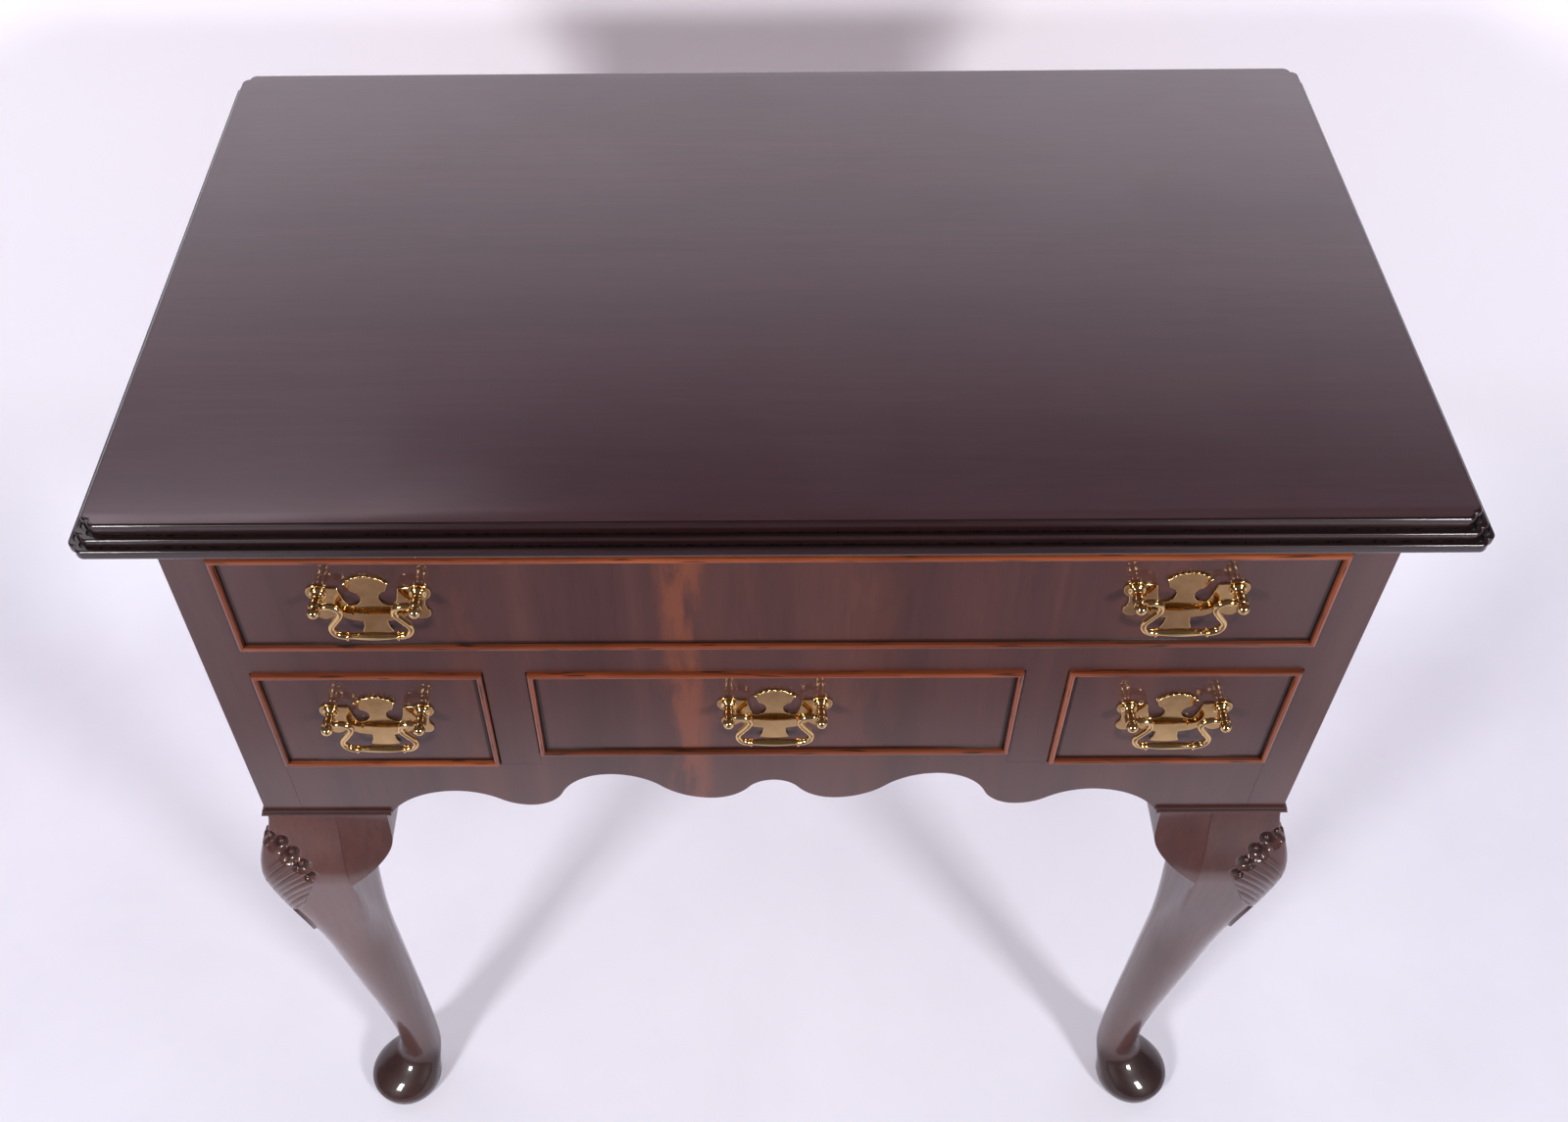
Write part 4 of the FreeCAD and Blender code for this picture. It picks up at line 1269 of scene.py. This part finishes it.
def fan_half():
    """The right half of the fan's scalloped edge."""
    points = []
    for step in range(int(fan_lobes / 2 * steps_per_lobe) + 1):
        angle = math.radians(90 - 2 * fan_half_angle / fan_lobes * step / steps_per_lobe)
        wave = abs(math.cos(math.pi * step / steps_per_lobe))
        radius = fan_radius + lobe_height - lobe_depth * (1 - wave)
        points.append((radius * math.cos(angle), radius * math.sin(angle)))
    return points


def plate_half():
    """The right half of the plate: fan, notch, wing, ear and foot, joined by a few given points."""
    points = fan_half()
    points += arc(waist + notch_radius, -notch_drop, notch_radius, 105, 290, 18)
    wing_x = post_spacing / 2 + 0.4
    wing = arc(wing_x, 0, wing_radius, 138, -62, 16)
    ear = arc(wing_x - 0.8, -ear_drop, ear_radius, 50, -128, 12)
    hook_x = wing[0][0] - wing_radius
    points += [((points[-1][0] + hook_x) / 2, -notch_drop - 0.3), (hook_x, wing[0][1] - 0.4)]
    points += wing
    points += [(wing[-1][0] - 1.0, (wing[-1][1] + ear[0][1]) / 2)]
    points += ear
    neck_x = lug_half * 0.75
    scroll_x = ear[-1][0] - ear_radius * 0.7
    points += [(scroll_x, -ear_drop - 1.2), ((scroll_x + neck_x) / 2 + 0.6, -ear_drop - 5.6)]
    points += [(neck_x, -ear_drop - 7.2), (neck_x + 0.5, -lug_drop + 4.5)]
    points += [(lug_half, -lug_drop), (lug_half / 2, -lug_drop - 0.8)]
    return points


def plate_solid(x, z):
    """The plate whose posts stand at a height z, left and right of x."""
    half = plate_half()
    outline = half + [(0.0, -lug_drop - 1.0)] + [(-a, b) for a, b in reversed(half[1:])]
    return slab([(x + a, front_y, z + b) for a, b in outline], Vector((0, -plate_thickness, 0)))


for drawer in DRAWERS:
    solids = [plate_solid(x, z) for owner, x, z, _ in PULLS if owner == drawer]
    plates = bevelled(make_piece(drawer + "_plates", gather(solids), [brass]), plate_arris)
    seat(plates, drawer, drawer + "_pull_plates")
print("plates for", len(PULLS), "pulls")

# %% [markdown]
# ## Posts and nuts
#
# The bails hang between turned posts, which are bolted through the drawer front. One post is turned on
# the lathe: its radius is drawn along its length, with a flange on the plate, a neck, a collar that holds
# the bail and a ball end.

# %% Make the posts
pivot_stand = 9.0
collar_radius = 3.3
collar_half = 2.6
neck_radius = 3.0
shank_radius = 2.0
flange_radius = 4.9
ball_radius = 3.5
ball_stand = 13.2
ball_steps = 12
front_thickness = 18.0
nut_half_width = 4.5
nut_thickness = 3.5
shank_end = 2.0
post_sides = 28


def rounded(start, end, steps, bulge):
    """Profile points between two, bowed outwards by a bulge."""
    points = []
    for step in range(steps + 1):
        t = step / steps
        radius = blend(start[0], end[0], t) + bulge * math.sin(math.pi * t)
        points.append((radius, blend(start[1], end[1], t)))
    return points


def post_profile():
    """Radius at each distance in front of the plate."""
    shank = front_thickness + plate_thickness + nut_thickness + shank_end
    collar_start = pivot_stand - collar_half
    profile = [(shank_radius * 0.8, -shank), (shank_radius, -shank + 0.5), (shank_radius, 0.0),
               (flange_radius - 0.4, 0.0)]
    profile += rounded((flange_radius - 0.2, 0.2), (flange_radius - 1.2, 1.6), 6, 0.5)
    profile += [(neck_radius, 2.2), (neck_radius * 0.92, 3.4), (neck_radius, 4.8)]
    profile += rounded((neck_radius + 0.3, 5.2), (collar_radius, collar_start), 3, 0.2)
    profile += rounded((collar_radius, collar_start + 0.2), (collar_radius, pivot_stand + 1.6), 6, 0.25)
    profile += [(neck_radius - 0.3, pivot_stand + 2.0), (neck_radius - 0.6, pivot_stand + 2.3)]
    for step in range(1, ball_steps):
        angle = math.pi * (0.22 + 0.78 * step / ball_steps)
        profile.append((ball_radius * math.sin(angle), ball_stand - ball_radius * math.cos(angle)))
    return profile + [(0.15, ball_stand + ball_radius)]


def nut_profile():
    """Radius at each distance of a nut, with its outer edge eased."""
    return [(nut_half_width * 0.9, -nut_thickness), (nut_half_width, -nut_thickness + 0.3),
            (nut_half_width, 0.0)]


def turned(x, y, z, profile, sides, turn=0.0):
    """A turned solid along -Y from a profile of radius and distance."""
    angles = [2 * math.pi * (index + turn) / sides for index in range(sides)]
    return loft([[Vector((x + radius * math.cos(a), y - reach, z + radius * math.sin(a))) for a in angles]
                 for radius, reach in profile])


for drawer in DRAWERS:
    solids = []
    for x, z in [(x, z) for owner, x, z, _ in PULLS if owner == drawer]:
        for side in (-1, 1):
            post_x = x + side * post_spacing / 2
            solids.append(turned(post_x, plate_face, z, post_profile(), post_sides))
            solids.append(turned(post_x, front_y + front_thickness, z, nut_profile(), 6, 0.5))
    posts = make_piece(drawer + "_posts", gather(solids), [brass], arris=40.0)
    seat(posts, drawer, drawer + "_pull_posts")
print("posts", 2 * len(PULLS))

# %% [markdown]
# ## Trees that shape a path or a set of points
#
# A bail is a rod that follows a path, and the pearls are one small ball set on many points. Both are work
# for Geometry Nodes. Each tree takes a mesh whose points carry their own thickness as an attribute named
# girth, and two named inputs. It ends by turning everything into a real mesh and giving it its material.
# The result is then kept as a plain mesh, and the tree is no longer needed.

# %% Begin, end and bake a tree
def wire(tree, *pairs):
    """Join each first socket to its second."""
    for source, target in pairs:
        tree.links.new(source, target)


def new_tree(name, number_title, number):
    """A tree that is given a mesh, a named number and a finish, and reads the girth of the points."""
    tree = bpy.data.node_groups.new(name, "GeometryNodeTree")
    tree.interface.new_socket("Geometry", in_out="INPUT", socket_type="NodeSocketGeometry")
    count = tree.interface.new_socket(number_title, in_out="INPUT", socket_type="NodeSocketInt")
    count.default_value = number
    tree.interface.new_socket("Finish", in_out="INPUT", socket_type="NodeSocketMaterial")
    tree.interface.new_socket("Geometry", in_out="OUTPUT", socket_type="NodeSocketGeometry")
    girth = tree.nodes.new("GeometryNodeInputNamedAttribute")
    girth.data_type = "FLOAT"
    girth.inputs["Name"].default_value = "girth"
    return tree, tree.nodes.new("NodeGroupInput").outputs, girth.outputs[0]


def end_tree(tree, given, geometry):
    """End a tree: real meshes in the place of instances, and the finish on them."""
    realize = tree.nodes.new("GeometryNodeRealizeInstances")
    paint = tree.nodes.new("GeometryNodeSetMaterial")
    output = tree.nodes.new("NodeGroupOutput")
    wire(tree, (geometry, realize.inputs["Geometry"]),
         (realize.outputs["Geometry"], paint.inputs["Geometry"]),
         (given["Finish"], paint.inputs["Material"]),
         (paint.outputs["Geometry"], output.inputs["Geometry"]))


def bake_tree(name, tree, mesh, values, arris):
    """The tree's result as a plain mesh object, with the named inputs set by their identifiers."""
    source = add_object(name + "_source", mesh)
    modifier = source.modifiers.new("nodes", "NODES")
    modifier.node_group = tree
    for item in tree.interface.items_tree:
        if item.in_out == "INPUT" and item.name in values:
            modifier[item.identifier] = values[item.name]
    graph = bpy.context.evaluated_depsgraph_get()
    result = bpy.data.meshes.new_from_object(source.evaluated_get(graph))
    bpy.data.objects.remove(source)
    finish_mesh(result, arris)
    return add_object(name, result)


def girth_mesh(name, places, girths, edges=()):
    """Points in millimetres that carry their own thickness."""
    mesh = bpy.data.meshes.new(name)
    mesh.from_pydata([Vector(place) * MM for place in places], edges, [])
    attribute = mesh.attributes.new("girth", "FLOAT", "POINT")
    attribute.data.foreach_set("value", [value * MM for value in girths])
    return mesh


print("trees so far", len(bpy.data.node_groups))

# %% Build the tree that sweeps a rod
rod_sides = 20
rod_tree, rod_given, rod_girth = new_tree("swept_rod", "Sides", rod_sides)
to_curve = rod_tree.nodes.new("GeometryNodeMeshToCurve")
circle = rod_tree.nodes.new("GeometryNodeCurvePrimitiveCircle")
circle.inputs["Radius"].default_value = 1.0
to_mesh = rod_tree.nodes.new("GeometryNodeCurveToMesh")
to_mesh.inputs["Fill Caps"].default_value = True
wire(rod_tree, (rod_given["Geometry"], to_curve.inputs["Mesh"]),
     (to_curve.outputs["Curve"], to_mesh.inputs["Curve"]),
     (rod_given["Sides"], circle.inputs["Resolution"]),
     (circle.outputs["Curve"], to_mesh.inputs["Profile Curve"]),
     (rod_girth, to_mesh.inputs["Scale"]))
end_tree(rod_tree, rod_given, to_mesh.outputs["Mesh"])
print("rod tree", len(rod_tree.nodes), "nodes")

# %% [markdown]
# ## Bails
#
# A bail is a bent rod: from each post it runs inwards, turns down in a swan neck, leans out and comes round
# to the grip, which swells in the middle between two small rings.

# %% Bend the bails
bail_radius = 2.0
pin_radius = 1.2
pin_reach = 2.4
shoulder_gap = 0.4
bail_straight = 3.2
shoulder_bend = 5.5
bail_lean = 35.0
bail_arm = 8.4
corner_bend = 6.4
grip_radius = 2.4
grip_steps = 12
ring_radius = 2.8
ring_inset = 1.2
ring_half = 0.9
ring_steps = 8
bend_steps = 10


def neck_path(place):
    """The swan neck and the lower corner from a place on: two bends with a straight arm between them."""
    path = []
    sweep = 90 + bail_lean
    heading = 180.0
    for bend, turn in ((shoulder_bend, 1), (corner_bend, -1)):
        side_angle = math.radians(heading + 90 * turn)
        centre = place + Vector((math.cos(side_angle), math.sin(side_angle))) * bend
        for step in range(1, bend_steps + 1):
            angle = math.radians(heading + turn * sweep * step / bend_steps)
            place = centre + Vector((math.sin(angle), -math.cos(angle))) * (turn * bend)
            path.append(place)
        heading += turn * sweep
        if turn > 0:
            place = place + Vector((math.cos(angle), math.sin(angle))) * bail_arm
            path.append(place)
    return path


def bail_half_path():
    """Place and thickness along the right half of a bail, from its pin to the middle of its grip."""
    shoulder = post_spacing / 2 - collar_radius - shoulder_gap
    path = [((shoulder + pin_reach + shoulder_gap, 0.0), pin_radius), ((shoulder + 0.02, 0.0), pin_radius),
            ((shoulder, 0.0), bail_radius * 0.9), ((shoulder - 0.3, 0.0), bail_radius)]
    start = Vector((shoulder - bail_straight, 0.0))
    neck = [start] + neck_path(start)
    path += [(tuple(place), bail_radius) for place in neck]
    end = neck[-1]
    for k in range(ring_steps + 1):
        around = math.pi * k / ring_steps
        path.append(((end.x - ring_inset + ring_half * math.cos(around), end.y),
                     blend(bail_radius * 0.9, ring_radius, math.sin(around))))
    grip_end = end.x - ring_inset - ring_half
    for k in range(1, grip_steps + 1):
        swell = math.sin(math.pi / 2 * k / grip_steps)
        path.append(((grip_end * (1 - k / grip_steps), end.y), blend(bail_radius * 0.8, grip_radius, swell)))
    return path


half = bail_half_path()
path = half + [((-a, b), girth) for (a, b), girth in reversed(half[:-1])]
path_edges = [(k, k + 1) for k in range(len(path) - 1)]
for _, x, z, body in PULLS:
    places = [(x + a, plate_face - pivot_stand, z + b) for (a, b), _ in path]
    mesh = girth_mesh(body + "_path", places, [girth for _, girth in path], path_edges)
    bail = bake_tree(body + "_swan", rod_tree, mesh, {"Sides": rod_sides, "Finish": brass}, 50.0)
    seat(bail, body, body)
print("bails", len(PULLS), "of", len(bail.data.polygons), "faces")

# %% [markdown]
# ## Pearls
#
# A row of tiny pearls runs along the fan of every plate, and seven lie in the upper hollows of each carved
# shell. They are all the same small ball, so one tree sets it on every point of a mesh, at the size that
# the point carries.

# %% Build the tree that sets pearls
pearl_tree, pearl_given, pearl_girth = new_tree("pearls", "Detail", 3)
ball = pearl_tree.nodes.new("GeometryNodeMeshIcoSphere")
ball.inputs["Radius"].default_value = 1.0
set_balls = pearl_tree.nodes.new("GeometryNodeInstanceOnPoints")
wire(pearl_tree, (pearl_given["Detail"], ball.inputs["Subdivisions"]),
     (pearl_given["Geometry"], set_balls.inputs["Points"]),
     (ball.outputs["Mesh"], set_balls.inputs["Instance"]),
     (pearl_girth, set_balls.inputs["Scale"]))
end_tree(pearl_tree, pearl_given, set_balls.outputs["Instances"])
print("pearl tree", len(pearl_tree.nodes), "nodes")

# %% Set the pearls
fan_pearl = 1.0
pearl_arc = fan_radius + 0.1
shell_pearl = 2.0


def set_pearls(name, places, radius, finish, detail, body):
    """One mesh of pearls at places in millimetres."""
    mesh = girth_mesh(name + "_places", places, [radius] * len(places))
    pearls = bake_tree(name, pearl_tree, mesh, {"Detail": detail, "Finish": finish}, 60.0)
    seat(pearls, body)


def fan_places(x, z):
    """Places of the pearls, one on each lobe of the fan of the plate with its posts at x, z."""
    places = []
    for k in range(fan_lobes):
        angle = math.radians(90 + 2 * fan_half_angle / fan_lobes * (k - (fan_lobes - 1) / 2))
        places.append((x + pearl_arc * math.cos(angle), plate_face - 0.1, z + pearl_arc * math.sin(angle)))
    return places


def nearest_point(ring, step, place_s):
    """The index of the point of a ring that lies nearest a distance from the ridge, on one side of it."""
    away = distances_from_ridge(ring)
    indexes = [(ridge_index + step * k) % len(ring) for k in range(outer_steps)]
    return min(indexes, key=lambda index: abs(away[index] - place_s))


def shell_places(sx):
    """Places of the pearls in the upper hollows of one knee's shell."""
    places = []
    angles = leg_angles(outer_steps, inner_steps)
    for place_s, place_z, _ in hollows[:4]:
        ring = [leg_point(sx, -1, place_z, angle) for angle in angles]
        raised, _ = carved_ring(ring)
        for step in ((-1, 1) if place_s > 0 else (1,)):
            places.append(tuple(raised[nearest_point(ring, step, place_s)]))
    return places


for drawer in DRAWERS:
    places = [place for owner, x, z, _ in PULLS if owner == drawer for place in fan_places(x, z)]
    set_pearls(drawer + "_pearls", places, fan_pearl, brass, 2, drawer)
for name, sx in (("left", -1), ("right", 1)):
    places = shell_places(sx)
    set_pearls("shell_pearls_" + name, places, shell_pearl, leg_wood, 3, "root")
print("pearls on a shell", len(places), "and on a fan", fan_lobes)

# %% [markdown]
# ## Paper sweep
#
# The piece stands on a sheet of pale paper that curves up close behind it. In front, its middle is toned
# down to a darker floor, and the polished front mirrors it: dark in the middle of the upper drawer, pale
# in the lower ones and at the sides. High up, painted shade darkens the upright part, and the top mirrors
# that. Only the camera, mirrors and glass see the paper glow a little, so the glow lights nothing. From
# behind, the paper lets the view through.

# %% Make the paper
sweep_half = 5.0
sweep_front = -2.6
sweep_start = 0.26
sweep_radius = 0.24
sweep_top = 1.5
sweep_steps = 24
paper_end = -0.46
paper_fade = 0.17
dark_half = 0.40
dark_fade = 0.3
beside_dark = 0.8
floor_glow = 0.25
wall_glow = 0.12
# Heights between which painted shade darkens the upright part.
painted_shade_heights = (0.92, 1.46)
floor_shades = (shade(212, 209, 220), shade(220, 217, 228))
wall_shade = shade(250, 245, 254)
dark_floor = shade(128, 116, 126)


def one_sided(material, shader):
    """Let the view through a material from behind."""
    output = next(node for node in material.node_tree.nodes if node.type == "OUTPUT_MATERIAL")
    either = add_node(material, "MixShader")
    join(material, add_node(material, "NewGeometry").outputs["Backfacing"], either.inputs[0])
    join(material, shader.outputs["BSDF"], either.inputs[1])
    join(material, add_node(material, "BsdfTransparent").outputs["BSDF"], either.inputs[2])
    join(material, either.outputs["Shader"], output.inputs["Surface"])


def paper_material():
    """Pale paper with a faint stain, a dark floor in front of the piece, and painted shade high up."""
    material, shader = new_material("paper")
    stains = noise(material, (3.0, 3.0, 3.0), 5.0, 0.6, 0.3)
    flat = ramp(material, stains, tuple(zip((0.3, 0.7), floor_shades)))
    x, y, z = position(material)
    pale = mix(material, stretch(material, z, 0.0, sweep_radius, 0.0, 1.0), flat, wall_shade)
    aside = calculate(material, "ABSOLUTE", x)
    beside = stretch(material, aside, dark_half, dark_half + dark_fade, 0.0, beside_dark)
    behind = stretch(material, y, paper_end - paper_fade, paper_end, 0.0, 1.0)
    lit = calculate(material, "MAXIMUM", behind, beside)
    # Painted shade: the upright part goes dark high up.
    lit = calculate(material, "MULTIPLY", lit, stretch(material, z, *painted_shade_heights, 1.0, 0.0))
    join(material, mix(material, lit, dark_floor, pale), shader.inputs["Base Color"])
    shader.inputs["Roughness"].default_value = 0.8
    shader.inputs["Specular IOR Level"].default_value = 0.1
    path = add_node(material, "LightPath").outputs
    seen = calculate(material, "MAXIMUM", path["Is Camera Ray"], path["Is Glossy Ray"])
    seen = calculate(material, "MAXIMUM", seen, path["Is Transmission Ray"])
    glow = calculate(material, "MULTIPLY", calculate(material, "MULTIPLY", seen, lit),
                     stretch(material, z, 0.0, sweep_radius, floor_glow, wall_glow))
    join(material, pale, shader.inputs["Emission Color"])
    join(material, glow, shader.inputs["Emission Strength"])
    one_sided(material, shader)
    return material


def make_paper():
    """The sheet: flat in front, swept up in a quarter round, then upright."""
    wall_y = sweep_start + sweep_radius
    curve = []
    for k in range(sweep_steps + 1):
        angle = math.pi / 2 * k / sweep_steps
        curve.append((sweep_start + sweep_radius * math.sin(angle),
                      sweep_radius - sweep_radius * math.cos(angle)))
    profile = [(sweep_front, 0.0), (paper_end - paper_fade, 0.0)] + curve + [(wall_y, sweep_top)]
    points = [(x, y, z) for y, z in profile for x in (-sweep_half, sweep_half)]
    faces = [(2 * k, 2 * k + 1, 2 * k + 3, 2 * k + 2) for k in range(len(profile) - 1)]
    mesh = bpy.data.meshes.new("paper")
    mesh.from_pydata(points, [], faces)
    mesh.materials.append(paper_material())
    mesh.shade_smooth()
    return add_object("paper", mesh)


paper = make_paper()
paper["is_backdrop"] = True
print("paper", len(paper.data.polygons), "faces")

# %% [markdown]
# ## Light
#
# Two small soft lamps stand in front, to the left and to the right and a little over the camera's height,
# in an otherwise dark room. A weak wide panel hangs behind on the left. The two shadows of the top cross
# on the upright part of the paper.

# %% Set the lamps and the room
room_colour = (0.92, 0.88, 1.0, 1.0)
room_light = 0.11
front_aim = (0, 0, 0.45)
front_size = (0.42, 0.42)


def add_lamp(name, place, aim, size, power, colour=(1.0, 1.0, 1.0)):
    """A soft rectangular lamp at a place in metres, turned towards another."""
    data = bpy.data.lights.new(name, "AREA")
    data.shape = "RECTANGLE"
    data.size, data.size_y = size
    data.energy = power
    data.color = colour
    lamp = add_object(name, data)
    lamp.location = place
    lamp.rotation_euler = (Vector(aim) - Vector(place)).to_track_quat("-Z", "Y").to_euler()


add_lamp("lamp_left", (-1.45, -1.95, 1.55), front_aim, front_size, 48.0)
add_lamp("lamp_right", (1.5, -1.9, 1.55), front_aim, front_size, 46.0)
add_lamp("panel_back_left", (-1.15, 0.9, 1.72), (-0.25, 0, 0.75), (1.6, 1.1), 12.0, (1.0, 0.9, 0.97))

world = bpy.data.worlds.new("room")
world.use_nodes = True
background = world.node_tree.nodes["Background"].inputs
background["Color"].default_value = room_colour
background["Strength"].default_value = room_light
bpy.context.scene.world = world
bpy.context.scene.view_settings.view_transform = "Standard"
print("lamps", len(bpy.data.lights))

# %% [markdown]
# ## Measure the finished piece
#
# The finished piece has to keep the size of the construction, so the size of its box is printed.

# %% Print the box
low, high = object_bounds()
print("visual box", [round(value, 4) for value in high - low])
